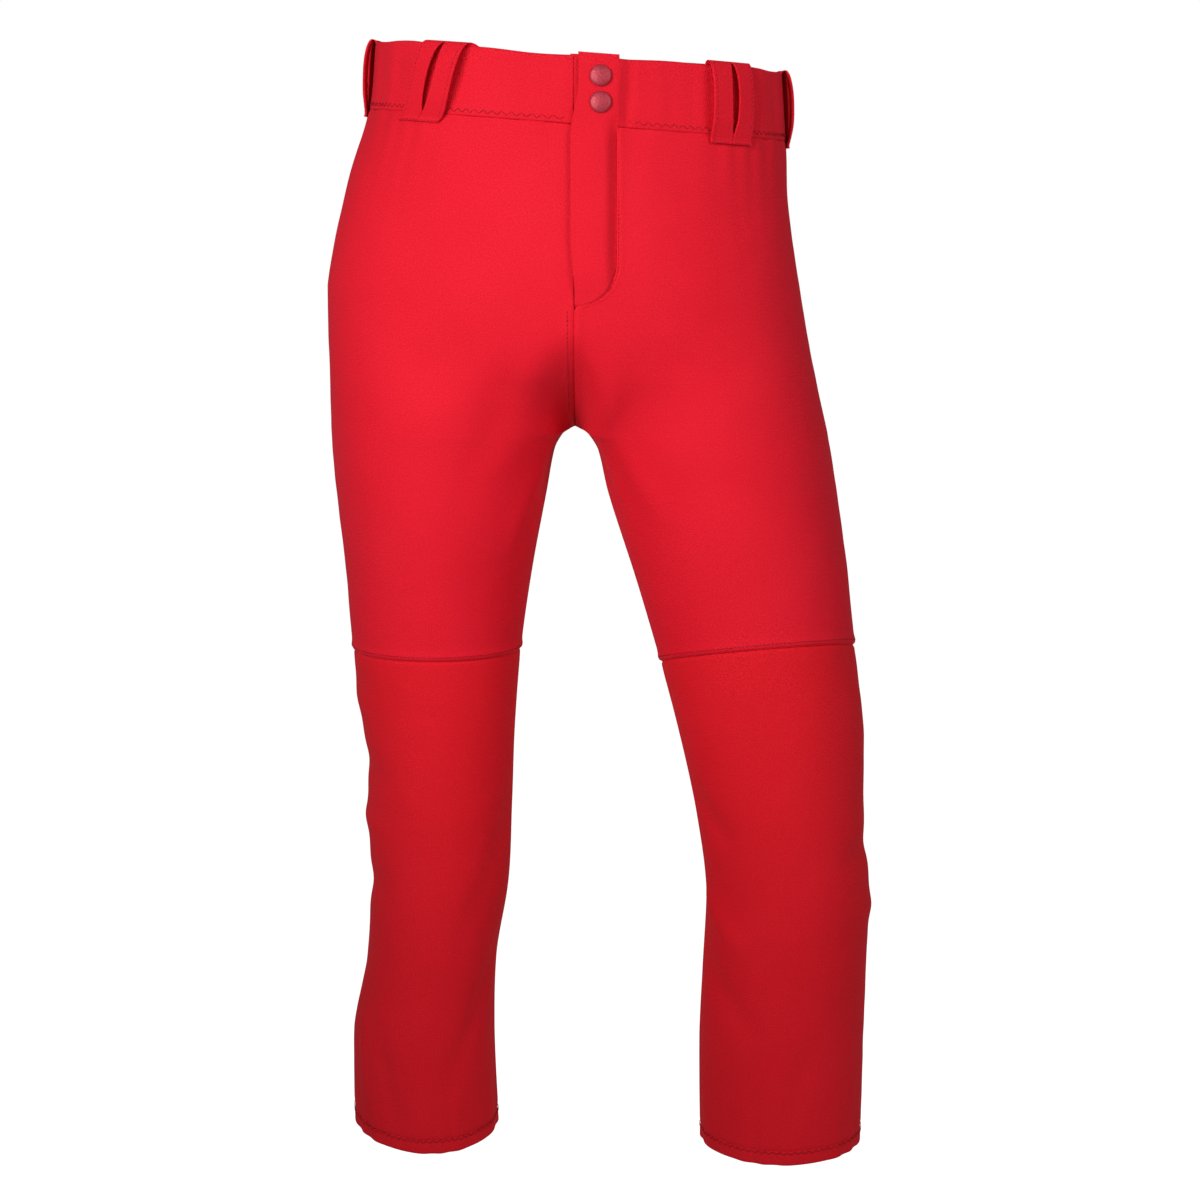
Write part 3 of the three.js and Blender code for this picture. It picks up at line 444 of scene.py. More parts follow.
# folds and seams, as heights in mm over the surface

# each fold: from (u, depth) to (u, depth), half width, height
folds = {
    "right": [
        (0.05, 205, 0.2, 300, 13, -2.6),  # hollow beside the crotch
        (0.035, 250, 0.12, 350, 9, 2.2),
        (0.09, 190, 0.26, 232, 16, -1.3),
        (0.1, 238, 0.3, 262, 14, 1.2),
        (0.4, 470, 0.6, 452, 12, 1.8),  # side of the knee
        (0.36, 515, 0.62, 500, 12, -2.2),
        (0.38, 552, 0.66, 545, 11, 2.6),
        (0.36, 590, 0.6, 604, 12, -2.2),
        (0.6, 560, 0.92, 548, 9, 3.2),  # behind the knee
        (0.62, 585, 0.95, 592, 8, -3.0),
        (0.6, 610, 0.9, 622, 9, 2.8),
        (0.02, 520, 0.2, 640, 14, -1.6),
        (0.04, 640, 0.22, 760, 12, -1.8),
        (0.36, 700, 0.3, 775, 10, -1.4),
        (0.42, 690, 0.38, 775, 8, 1.5),
        (0.8, 250, 0.97, 300, 12, -3.0),  # under the seat
        (0.72, 285, 0.95, 318, 12, 2.4),
    ],
    "left": [
        (0.03, 215, 0.14, 330, 10, 2.8),
        (0.015, 240, 0.05, 330, 8, -2.5),
        (0.08, 195, 0.3, 240, 17, -1.2),
        (0.12, 95, 0.34, 112, 15, -1.4),  # hollow below the front belt loop
        (0.02, 520, 0.14, 560, 11, -2.2),
        (0.0, 590, 0.16, 640, 10, 2.0),
        (0.02, 640, 0.2, 700, 12, -2.0),
        (0.36, 575, 0.56, 560, 11, -2.4),
        (0.4, 610, 0.6, 612, 10, 2.2),
        (0.6, 560, 0.95, 540, 10, 3.6),
        (0.62, 588, 0.96, 585, 9, -3.4),
        (0.6, 615, 0.92, 625, 10, 3.0),
        (0.8, 250, 0.97, 300, 12, -3.0),
        (0.72, 285, 0.95, 318, 12, 2.4),
        (0.3, 700, 0.24, 780, 9, -1.3),
    ],
}


def foldHeight(side, u, d):
    height = np.zeros(np.broadcast(u, d).shape)
    for u0, d0, u1, d1, half, tall in folds[side]:
        ax, ay, bx, by = u0 * aroundMm, d0, u1 * aroundMm, d1
        length2 = (bx - ax) ** 2 + (by - ay) ** 2
        t = ((u * aroundMm - ax) * (bx - ax) + (d - ay) * (by - ay)) / length2
        k = np.clip(t, 0, 1)
        away = np.hypot(u * aroundMm - between(ax, bx, k), d - between(ay, by, k))
        ends = smooth((t + 0.15) / 0.5) * smooth((1.15 - t) / 0.5)
        height += tall * np.exp(-((away / half) ** 2)) * ends
    return height


# slow unevenness of worn cloth, read at the point in space so that neighbours agree
def unevenness(points):
    flat = points.reshape(-1, 3)
    made = [0.55 * noise.noise(Vector(p / 42)) + 0.22 * noise.noise(Vector(p / 17 + 9)) for p in flat]
    return np.array(made).reshape(points.shape[:-1])


# profile of a sewn edge by distance from it: a groove and a low ridge over the seam allowance
def seamEdge(away, groove, ridge, wide):
    return -groove * np.exp(-((away / 0.9) ** 2)) + ridge * np.exp(-(((away
            - wide / 2) / (wide / 2.6)) ** 2))


gathers = {"band": 0.45, "hem": 0.7, "reach": 30, "bandWaves": 118, "hemWaves": 96}


def gatherHeight(side, u, d):
    down = np.exp(-(d - rise["band"]) / gathers["reach"]) * gathers["band"]
    up = np.exp(-(rise["hem"][side] - d) / gathers["reach"]) * gathers["hem"]
    atBand = np.sin(u * gathers["bandWaves"] + 2 * np.sin(u * 23))
    atHem = np.sin(u * gathers["hemWaves"] + 2.2 * np.sin(u * 31))
    return down * atBand + up * atHem


# the left thigh rolls over the drawn-in rise seam in a rounded lip
def lip(side, u, d):
    wide = crotch["wide"][side]
    across = np.exp(-(((u * aroundMm - 2.1 * wide) / wide) ** 2))
    return crotch["lip"][side] * across * smooth((d - 215) / 40) * smooth((330 - d) / 60)


# height of the worn cloth over the plain surface
def wornOff(side, u, d):
    edgeFree = smooth(np.minimum(u, 1 - u) * aroundMm / 14)
    total = foldHeight(side, u, d) + unevenness(surface(side, u, d)) + gatherHeight(side, u, d)
    return total * edgeFree + lip(side, u, d)


# soft gathers of the elastic waistband
ripple = {"broad": 61, "fine": 173, "tall": 0.55}


def bandOff(u, d):
    middle = 0.45 + 0.55 * np.sin(np.pi * np.clip(d / rise["band"], 0, 1))
    return ripple["tall"] * middle * (np.sin(u * ripple["broad"] + 1.6 * np.sin(u * 17)) + 0.3
                                      * np.sin(u * ripple["fine"]))


print("stage: surface ready")


# grids
edgeSteps = np.array([0, 0.4, 0.8, 1.3, 1.9, 2.6, 3.5, 4.7, 6.2])  # mm in from a sewn edge


def withEdges(length, step, edges=edgeSteps):
    middle = np.linspace(edges[-1], length - edges[-1], max(2, int((length - 2 * edges[-1]) / step) + 1))
    return np.concatenate([edges, middle[1:-1], length - edges[::-1]])


# depths no further apart than step on any part of the ring, closer at both sewn edges
def evenRows(side, top, bottom, step):
    fine = np.linspace(top, bottom, int((bottom - top) / 0.2) + 1)
    moved = [np.linalg.norm(np.diff(surface(side, u, fine), axis=0), axis=-1)
             for u in (0, 0.03, 0.25, 0.5, 0.75, 1)]
    run = np.concatenate([[0], np.cumsum(np.max(moved, axis=0))])
    return np.interp(withEdges(run[-1], step), run, fine)


def runFrom(points, axis):
    lengths = np.linalg.norm(np.diff(points, axis=axis), axis=-1)
    return np.insert(np.cumsum(lengths, axis), 0, 0, axis)


# leg panels
seamShare = 0.00006
panelStep = 2.8


def bendAtHip(piece):
    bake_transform(piece)


def bendAtKnee(piece):
    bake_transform(piece)


def leftFrontEdge(d):
    x = np.where(d < flyBottom, jStitch(d) + cloth["sewnGap"], 0)
    return np.maximum(uAt("left", x, d), seamShare)


def legPanel(name, side, onBack, thigh):
    gap = cloth["sewnGap"]
    if thigh:
        top, bottom = rise["band"] + gap, rise["kneeSeam"] - gap / 2
    else:
        top, bottom = rise["kneeSeam"] + gap / 2, rise["hem"][side] - hemHeight
    d = evenRows(side, top, bottom, panelStep)[:, None]
    share = withEdges(225, panelStep)[None, :] / 225
    if onBack:
        uFrom, uTo = 0.5 + seamShare, 1 - seamShare
    else:
        uFrom = leftFrontEdge(d) if side == "left" and thigh else seamShare
        uTo = 0.5 - seamShare
    u, d = np.broadcast_arrays(between(uFrom, uTo, share), d + 0 * share)
    flat = surface(side, u, d)
    run = runFrom(flat, 1)
    fromStart, fromEnd = run, run[:, -1:] - run
    fromTop = runFrom(flat, 0)
    fromBottom = fromTop[-1:] - fromTop
    off = wornOff(side, u, d)
    outseam, middle = (fromStart, fromEnd) if onBack else (fromEnd, fromStart)
    off = off + seamEdge(outseam, 0.8, 0.35, 6)
    if thigh:
        rising = seamEdge(middle, 0.55, 0.6, 7)
        inseam = seamEdge(middle, 0.6, 0.3, 5)
        centre = between(rising, inseam, smooth((d - rise["crotch"]) / 20))
        if not onBack:
            underFly = -0.9 * np.exp(-((middle / 9) ** 2))
            besideFly = -0.25 * np.exp(-((middle / 1.0) ** 2)) + 0.5 * np.exp(-(((middle - 3) / 2.2) ** 2))
            fly = underFly if side == "right" else besideFly
            centre = between(fly, centre, smooth((d - flyBottom + 6) / 12))
        off = off + centre - 0.7 * np.exp(-((fromTop / 2.2) ** 2)) + seamEdge(fromBottom, 1.1, 0.8, 7)
    else:
        off = off + seamEdge(middle, 0.8, 0.3,
        5) - 1.0 * np.exp(-((fromTop / 1.3) ** 2)) - 0.4 * np.exp(-((fromTop / 7) ** 2))
        off = off - 0.4 * np.exp(-((fromBottom / 2) ** 2))
    outer, inner = lifted(side, u, d, off), lifted(side, u, d, off - cloth["thick"])
    if thigh:
        # the rise seam is sewn shut on the centre plane
        sewn = np.exp(-((middle / 3) ** 2)) * (d <= rise["crotch"] + 1) * (1 if onBack else (d > flyBottom))
        for grid in (outer, inner):
            edgeX = grid[:, -1:, 0] if onBack else grid[:, :1, 0]
            grid[..., 0] -= (edgeX - signOf[side] * gap / 2) * sewn
    # the lower leg panels take the knit copy with painted shade
    piece = slab(name, outer, inner, "knit" if thigh else "knit_dark", None, [name])
    if thigh:
        bendAtHip(piece)
    else:
        bendAtKnee(piece)


for side in sides:
    legPanel(f"front_panel_{side}", side, False, True)
    legPanel(f"back_panel_{side}", side, True, True)
    legPanel(f"knee_panel_{side}", side, False, False)
    legPanel(f"calf_panel_{side}", side, True, False)
print("stage: leg panels")


# patches: small pieces with soft edges
fineEdge = np.array([0, 0.08, 0.22, 0.5, 0.9, 1.5])


def roundOff(away, radius):
    t = np.clip(1 - away / radius, 0, 1)
    return 0.94 * radius * (1 - np.sqrt(1 - t * t))


# at(a, b, off) gives points, a across and b down from 0 to 1; size is in mm
def patch(name, at, size, thick, slot, body, replaced=(), step=2.0):
    run, drop = withEdges(size[0], step, fineEdge)[None, :], withEdges(size[1], step, fineEdge)[:, None]
    edge = np.minimum(np.minimum(run, size[0] - run), np.minimum(drop, size[1] - drop))
    tuck = roundOff(edge, thick / 2)
    a, b = np.broadcast_arrays(run / size[0], drop / size[1])
    outer, inner = at(a, b, -tuck), at(a, b, tuck - thick)
    piece = slab(name, outer, inner, slot, body, replaced)
    return piece


# a ring of cloth round a leg or the waist, its section a line of (offset, depth) with inward directions
def clothRing(name, side, u, section, offAt, thick, slot, body, replaced, wrap, waveAt=None):
    line, inward = section
    uGrid, d = np.broadcast_arrays(u[None, :], line[:, 1:2])
    if waveAt:
        d = d + waveAt(uGrid) * np.clip(1 - d / rise["band"], 0, 1) ** 2
    extra = offAt(uGrid, d)
    outer = lifted(side, uGrid, d, line[:, 0:1] + extra)
    inner = lifted(side, uGrid, d + inward[:, 1:2] * thick, line[:, 0:1] + inward[:, 0:1] * thick + extra)
    return slab(name, outer, inner, slot, body, replaced, wrap), outer


# a band folded over at its edge: outer wall, a half round, inner wall
# edgeSign is 1 with the fold at the top
def foldedSection(edge, open, apart, edgeSign):
    radius = apart / 2
    bend = edge + edgeSign * radius
    wall = np.linspace(open, bend, int(abs(open - bend) / 1.6) + 2)
    angle = np.linspace(0, math.pi, 13)[1:-1]
    outerWall = np.stack([np.zeros_like(wall), wall], -1)
    arc = np.stack([radius * np.cos(angle) - radius, bend - edgeSign * radius * np.sin(angle)], -1)
    innerWall = np.stack([np.full_like(wall, -apart), wall[::-1]], -1)
    inArc = np.stack([-np.cos(angle), edgeSign * np.sin(angle)], -1)
    into = [np.tile([-1.0, 0.0], (len(wall), 1)), inArc, np.tile([1.0, 0.0], (len(wall), 1))]
    return np.concatenate([outerWall, arc, innerWall]), np.concatenate(into)


# waistband
band = {"inside": -4.0, "thick": 1.1, "tabSeam": (41, 37)}


def tabSeamX(d):
    return between(band["tabSeam"][0], band["tabSeam"][1], np.clip(d / rise["band"], 0, 1))


# the tab stands off over the studs and comes down to the band at its seam
def tabLift(x, d):
    return flySize["lift"] * smooth((tabSeamX(d) - x) / 11) * smooth((rise["band"] + 10 - d) / 20)


def topWave(u):
    return 0.9 * np.sin(u * 13 + 1) + 0.5 * np.sin(u * 37)


for side in sides:
    frontX = (flySize["width"] if side == "left" else 0.1) + cloth["sewnGap"]
    uStart = float(uAt(side, frontX, 24))
    uBand = between(uStart, 1 - seamShare, withEdges(300, 2.2) / 300)

    def bandWave(u, d, side=side):
        wave = bandOff(u, d)
        x = np.abs(surface(side, u, d)[..., 0])
        if side == "left":
            seam = x - tabSeamX(d)
            wave = wave * smooth((x - 30) / 12) + tabLift(x, d)
            wave = wave - 1.0 * np.exp(-((seam / 0.9) ** 2)) + 0.5 * np.exp(-(((seam - 3) / 2) ** 2))
        return wave - 0.35 * np.exp(-(((d - rise["band"]) / 1.6) ** 2))

    section = foldedSection(0, rise["band"], -band["inside"], 1)
    piece, outer = clothRing(f"waistband_{side}", side, uBand, section, bandWave, band["thick"], "knit",
                             "pelvis",
                             [f"waistband_{side}"], False, topWave)

# the elastic lies inside both halves of the band, round the back
elasticRun = np.concatenate([between(float(uAt("right", 3.3, 24)), 1, np.linspace(0, 1, 120)),
                             between(1, float(uAt("left", flySize["width"] + 1.3, 24)),
                                     np.linspace(0, 1, 120)[1:])])
elasticRows = np.linspace(1.8, rise["band"] - 3, 24)[:, None]


def elasticAt(off):
    grid = np.broadcast_to(elasticRun[None, :], (len(elasticRows), len(elasticRun)))
    d = np.broadcast_to(elasticRows, grid.shape)
    onRight = np.arange(len(elasticRun)) < 120
    lift = tabLift(np.abs(surface("left", grid, d)[..., 0]), d)
    made = {s: lifted(s, grid, d, off + bandOff(grid, d) + (lift if s == "left" else 0)) for s in sides}
    points = np.where(onRight[None, :, None], made["right"], made["left"])
    points[:, 119, 0] = 0
    return points


piece = slab("waist_elastic", elasticAt(-1.5), elasticAt(-2.7), "elastic", "pelvis", ["waist_elastic"])
elasticAt(-1.5)
print("stage: waistband")


# fly
def smoothLift(x, d):
    onFlap = flySize["lift"] * smooth((flySize["width"] - x) / 9) * smooth((flyBottom + 4 - d) / 30)
    return between(tabLift(x, d), onFlap, smooth((d - 34) / 26))


def freeEdge(d):
    atTop = 5.5 * smooth((58 - d) / 40)
    return between(atTop - flySize["overhang"], 0.3, smooth((d - 125) / 40))


flyFront = {"top": -1.4, "thick": 1.3, "crown": 0.9, "valley": 1.0, "under": 1.4}


def flyAt(a, b, off):
    d = between(flyFront["top"], flyBottom + 1.0, b)
    start = freeEdge(d)
    stitch = np.maximum(jStitch(d), start + 0.3)
    x = between(start, stitch + flyFront["under"], a)
    wide = flySize["width"] - start
    crown = flyFront["crown"] * np.sin(np.pi * np.clip((x - start) / wide, 0, 1)) * smooth((d - 30) / 30)
    valley = flyFront["valley"] * np.exp(-(((x - flySize["width"] + 1.5) / 2.2) ** 2)) * smooth((d
            - 40) / 14)
    waves = 0.35 * np.sin(d / 9.0) * np.sin(np.pi * a) * smooth((d - 44) / 20)
    tuckedIn = 1.35 * smooth((x - stitch + 0.7) / 0.8) * smooth((d - rise["band"] - 1) / 3)
    lift = smoothLift(x, d) + (crown + waves) * smooth((flyBottom - d) / 40) - valley - tuckedIn
    return frontPoint(x, d, lift + off)


piece = patch("fly_front", flyAt, (34, flyBottom + 1), flyFront["thick"], "knit", None,
              ["fly_flap", "waist_tab"], 1.5)
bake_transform(piece)


def facingAt(a, b, off):
    d = between(rise["band"] + 2, flyBottom - flySize["curve"], b)
    x = between(17.5, flySize["width"] - 0.8, a)
    return frontPoint(x, d, smoothLift(x, d) - 1.9 + off)


patch("fly_facing", facingAt, (11.5, 92), 0.9, "knit", "fly", ["fly_facing"], 1.5)


def shieldAt(a, b, off):
    return frontPoint(between(-4, flySize["width"] + 3, a), between(rise["band"] + 0.2, flyBottom + 6, b),
                      off - flySize["shieldDepth"])


patch("fly_shield", shieldAt, (36, 130), 1.2, "knit", "pelvis", ["fly_shield"], 3)


# the right half of the band runs on under the tab
def underlapAt(a, b, off):
    x = between(-2.5, flySize["width"] - 1, a)
    behind = smooth((x - 1) / 6) + 1.35 * smooth((0.5 - x) / 0.5)
    return frontPoint(x, between(0, rise["band"] + 0.8, b), off - behind)


patch("waist_underlap", underlapAt, (31, 48), 2.2, "knit", "pelvis", ["waist_underlap"], 1.5)
print("stage: fly")


# hem bands
for side in sides:
    bottom = rise["hem"][side]
    uHem = np.linspace(0, 1, 260, endpoint=False)

    def hemWave(u, d, side=side, bottom=bottom):
        return gatherHeight(side, u, d) * 0.8 - 0.55 * np.exp(-(((d - bottom + 10.2) / 1.3) ** 2))

    section = foldedSection(bottom, bottom - hemHeight + cloth["sewnGap"], 4.0, -1)
    piece, outer = clothRing(f"hem_band_{side}", side, uHem, section, hemWave, 1.1, "knit_dark",
                             f"shin_{side}",
                             [f"hem_band_{side}"], True)
    flat = np.array([[-1.5, bottom - 9.8], [-1.5, bottom - 6], [-1.5, bottom - 2.4]])
    piece, outer = clothRing(f"hem_elastic_{side}", side, uHem, (flat, np.tile([-1.0, 0.0], (3, 1))),
                             hemWave, 1.2, "elastic",
                             f"shin_{side}", [f"hem_elastic_{side}"], True)
    tapeLine = np.array([[-2.9, rise["kneeSeam"] + s] for s in (-5.2, -2.6, 0, 2.6, 5.2)])
    piece, outer = clothRing(f"knee_seam_tape_{side}", side, np.linspace(0, 1, 200, endpoint=False),
                             (tapeLine, np.tile([-1.0, 0.0], (5, 1))), lambda u, d,
                             side=side: wornOff(side, u, d), 0.8,
                             "knit_dark", f"thigh_{side}", [f"knee_seam_tape_{side}"], True)

    def plyAt(a, b, off, side=side):
        u = between(0.045, 0.455, a)
        d = between(rise["kneeSeam"] + 8, rise["kneeSeam"] + 222, b)
        return lifted(side, u, d, wornOff(side, u, d) - 1.5 + off)

    piece = patch(f"knee_ply_{side}", plyAt, (150, 214), 1.0, "knit_dark", None, [f"knee_ply_{side}"], 3.0)
    bendAtKnee(piece)
print("stage: hems and knees")


# belt loops: two straps side by side, open between them for most of their height
loop = {"width": 34, "slot": 5.5, "slotEnd": 0.8, "thick": 1.7,
        "shape": {"front": (1, 0.3), "side": (0.5, 0.6), "back": (1, 0.1)}}
loopX = {"right": (81, 109), "left": (107, 109)}
# offset and depth down the strap: it comes over the top edge, stands off the band and is sewn down below it
loopPath = np.array([(-2.4, 0.6), (-0.8, -1.5), (2.2, -1.8), (5.4, 3), (7.4, 13), (7.6, 25), (6.4, 37),
                     (3.6, 46), (1.5, 51), (1.2, 54)])


def smoothPath(points, t):
    n = len(points) - 1
    place = np.clip(t, 0, 1) * n
    i = np.minimum(place.astype(int), n - 1)
    k = (place - i)[..., None]
    p0, p1, p2, p3 = (points[np.clip(i + j, 0, n)] for j in (-1, 0, 1, 2))
    return p1 + k / 2 * (p2 - p0) + k**2 * (p0 - 2.5 * p1 + 2 * p2 - p3 / 2) + k**3 * (1.5 * (p1 - p2)
            + (p3 - p0) / 2)


def alongFace(side, u, s, d):
    step = 0.002
    uTo = np.minimum(1, u + step)
    speed = np.linalg.norm(surface(side, uTo, d) - surface(side, u - step, d), axis=-1) / (uTo - u + step)
    return u + s / speed


# a point of the loop: b down the strap, s mm across from its middle line
def loopPoint(side, place, b, s, off, shape=(1, 0)):
    path = smoothPath(loopPath, b)
    standing, flare = shape
    stand, d = np.where(path[..., 0] > 1.2, 1.2 + (path[..., 0] - 1.2) * standing, path[..., 0]), path[...,
            1]
    stand = stand - np.maximum(stand - 1.2, 0) * flare * s / (loop["width"] / 2)
    d = d + topWave(place(b)) * np.clip(1 - d / rise["band"], 0, 1) ** 2
    u = alongFace(side, place(b), s, np.maximum(d, 0))
    other = "left" if side == "right" else "right"
    onOther = u > 1
    near = np.where(onOther, 2 - u, u)
    depth = np.maximum(d, -5.5)
    lean = 0.5 * np.sin(b * 4 + place(b) * 40)
    made = {who: lifted(who, near, depth, stand + off + lean) for who in (side, other)}
    made = np.where(onOther[..., None], made[other], made[side])
    made[..., 2] += np.minimum(0, 5.5 + d) * -1
    return made


def shapeOf(name):
    return next((k for part, k in loop["shape"].items() if f"loop_{part}" in name), (1, 0))


def slotHalf(b):
    return 0.04 + loop["slot"] / 2 * np.sin(np.pi * np.clip((b - 0.24) / (loop["slotEnd"] - 0.24), 0,
                                                            1)) ** 0.75


def beltLoop(name, side, place):
    pieces = []
    shape = shapeOf(name)
    b = np.unique(np.concatenate([np.linspace(0, 1, 44), [0.004, 0.012, 0.988, 0.996]]))[:, None]
    half = loop["width"] / 2
    strap = half - 2
    for sign in (-1, 1):
        share = withEdges(strap, 1.2, fineEdge)[None, :] / strap
        s = sign * between(slotHalf(b), half, share)
        edge = np.minimum(share, 1 - share) * strap
        tuck = roundOff(edge, loop["thick"] / 2)
        line = -0.28 * np.exp(-(((edge - 2.4) / 0.5) ** 2)) + 0.12 * np.cos(share * 2 * np.pi)
        outer = loopPoint(side, place, b, s, line - tuck + loop["thick"], shape)
        inner = loopPoint(side, place, b, s, tuck + 0 * s, shape)
        if sign < 0:
            outer, inner = outer[:, ::-1], inner[:, ::-1]
        pieces.append(slab(f"{name}.strap", outer, inner, "knit"))
    bpy.ops.object.select_all(action="DESELECT")
    for strap in pieces:
        strap.select_set(True)
    bpy.context.view_layer.objects.active = pieces[0]
    bpy.ops.object.join()
    made = bpy.context.view_layer.objects.active
    made.name = made.data.name = f"{name}.cloth"
    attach(made, "pelvis")
    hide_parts(name)
    return made


def onFront(side):
    top, bottom = loopX[side]
    return lambda b: uAt(side, between(top, bottom, b), np.clip(smoothPath(loopPath, b)[..., 1], 0, 60))


def onBack(side):
    return lambda b: uAt(side, 88.0, np.clip(smoothPath(loopPath, b)[..., 1], 0, 60), True)


loopPlaces = {"belt_loop_centre_back": ("left", lambda b: 1.0 + 0 * b)}
for side in sides:
    loopPlaces[f"belt_loop_front_{side}"] = (side, onFront(side))
    loopPlaces[f"belt_loop_side_{side}"] = (side, lambda b: 0.515 + 0 * b)
    loopPlaces[f"belt_loop_back_{side}"] = (side, onBack(side))
for name, (side, place) in loopPlaces.items():
    beltLoop(name, side, place)
print("stage: belt loops")


# sewing thread: one small spindle for each stitch
thread = {"sides": 5, "thick": 0.42, "rise": 0.2, "pitch": 3.0, "length": 2.5}


def stitches(name, ends, normals, body=None, thick=thread["thick"], slot="thread"):
    start, end = ends[:, 0], ends[:, 1]
    along = end - start
    length = np.linalg.norm(along, axis=-1, keepdims=True)
    along = along / np.maximum(length, 1e-6)
    across = np.cross(normals, along)
    angle = np.arange(thread["sides"]) / thread["sides"] * 2 * np.pi
    ring = np.cos(angle)[None, :, None] * normals[:, None] + np.sin(angle)[None, :, None] * across[:, None]
    raised = normals * thread["rise"]
    rings = [(between(start, end, t) + raised)[:, None] + ring * thick / 2 for t in (0.25, 0.75)]
    points = np.concatenate([start[:, None], rings[0], rings[1], end[:, None]], 1)
    n = thread["sides"]
    faces = []
    for i in range(n):
        k = (i + 1) % n
        faces += [[0, 1 + i, 1 + k], [1 + i, 1 + n + i, 1 + n + k], [1 + i, 1 + n + k, 1 + k],
                  [2 * n + 1, 1 + n + k, 1 + n + i]]
    count = 2 * n + 2
    every = (np.array(faces)[None] + np.arange(len(points))[:, None, None] * count).reshape(-1, 3)
    v = np.array([0] + [0.25] * n + [0.75] * n + [1])
    across = np.array([0] + list(range(n)) * 2 + [0]) * 0.0003
    uv = np.stack([np.broadcast_to(across, (len(points), count)), v[None] * length * mm], -1).reshape(-1, 2)
    return meshObject(name, points.reshape(-1, 3), every, uv, slot, body)


# evenly spaced stitches along a line of points
def runningEnds(path, normals, pitch=thread["pitch"], length=thread["length"]):
    run = np.concatenate([[0], np.cumsum(np.linalg.norm(np.diff(path, axis=0), axis=-1))])
    starts = np.arange(int((run[-1] - length) / pitch) + 1) * pitch
    at = lambda s, of: np.stack([np.interp(s, run, of[:, k]) for k in range(3)], -1)
    n = at(starts + length / 2, normals)
    return np.stack([at(starts, path), at(starts + length, path)], 1), n / np.linalg.norm(n, axis=-1,
            keepdims=True)


def zigzagEnds(points, normals):
    return np.stack([points[:-1], points[1:]], 1), normals[:-1]


def seamStitches(name, lines, body=None, **more):
    made = [runningEnds(path, normals) for path, normals in lines]
    return stitches(name, np.concatenate([m[0] for m in made]), np.concatenate([m[1] for m in made]), body,
                    **more)


zigzag = {"hemPitch": 2.4, "hemWide": 3.0, "hemRound": 340, "hemUp": 9.6,
          "bandPitch": 3.0, "bandWide": 3.0, "bandRound": 400, "bandUp": 3.6}
for side in sides:
    # knee seam topstitching on the thigh side
    u = np.linspace(0.004, 0.996, 400)
    d = rise["kneeSeam"] - 3.4
    line = (lifted(side, u, d, wornOff(side, u, d) + 0.85), normalAt(side, u, d))
    seamStitches(f"knee_seam_stitches_{side}", [line], f"thigh_{side}")
    # zigzag round the hem, over the elastic
    turns = int(zigzag["hemRound"] / zigzag["hemPitch"])
    u = np.linspace(0, 1, turns + 1)
    d = rise["hem"][side] - zigzag["hemUp"] + zigzag["hemWide"] / 2 * np.where(np.arange(turns + 1) % 2, 1,
            -1)
    off = gatherHeight(side, u, d) * 0.8 + 0.05
    ends, normals = zigzagEnds(lifted(side, u, d, off), normalAt(side, u, d))
    stitches(f"hem_zigzag_{side}", ends, normals, f"shin_{side}")
    # zigzag along the lower edge of the waistband
    start = float(uAt(side, 38 if side == "left" else 6, rise["band"]))
    turns = int(zigzag["bandRound"] / zigzag["bandPitch"])
    u = np.linspace(start, 1 - seamShare, turns + 1)
    d = rise["band"] - zigzag["bandUp"] + zigzag["bandWide"] / 2 * np.where(np.arange(turns + 1) % 2, 1, -1)
    ends, normals = zigzagEnds(lifted(side, u, d, bandOff(u, d) + 0.05), normalAt(side, u, d))
    stitches(f"band_zigzag_{side}", ends, normals, "pelvis")


def crotchLine(side, x, top, bottom, onBack, off):
    d = np.linspace(top, bottom, 90)
    u = uAt(side, x, d, onBack)
    return lifted(side, u, d, off), normalAt(side, u, d)


# J stitch round the fly, and twin needle rows below it
d = np.concatenate([np.linspace(rise["band"] + 2, flyBottom - flySize["curve"], 40),
                    flyBottom - flySize["curve"] * (1 - np.sin(np.linspace(0.05, 1.5, 40)))])
x = jStitch(d) + 1.2
seamStitches("fly_j_stitches", [(frontPoint(x, d, 0.05),
                                 np.stack([normalAt("left", uAt("left", xx, dd), dd) for xx,
                                           dd in zip(x, d)]))], "pelvis")
twin = {"front": (flyBottom + 3, rise["crotch"] - 14),
        "back": (rise["band"] + 4, rise["crotch"] - 20)}
seamStitches("centre_front_stitches", [crotchLine("right", 4.6, *twin["front"], False, 0.6)], "pelvis")
seamStitches("centre_back_stitches", [crotchLine(side, 4.6, *twin["back"], True, 0.6) for side in sides],
             "pelvis")

# rows down the edges of every belt loop strap, and a bar of thread across its foot
for name, (side, place) in loopPlaces.items():
    lines = []
    b = np.linspace(0.2, 0.95, 60)
    for s in (-loop["width"] / 2 + 2.4, loop["width"] / 2 - 2.4):
        path = loopPoint(side, place, b, np.full_like(b, s), loop["thick"] - 0.2, shapeOf(name))
        above = loopPoint(side, place, b, np.full_like(b, s), loop["thick"] + 0.8, shapeOf(name))
        lines.append((path, above - path))
    foot = np.full(40, 0.965)
    s = np.linspace(-loop["width"] / 2 + 0.5, loop["width"] / 2 - 0.5, 40)
    path, above = loopPoint(side, place, foot, s, loop["thick"] - 0.1), loopPoint(side, place, foot, s,
            loop["thick"] + 0.9)
    lines.append((path, above - path))
    seamStitches(f"{name}.stitches", lines, "pelvis", thick=0.36)
print("stage: stitching")


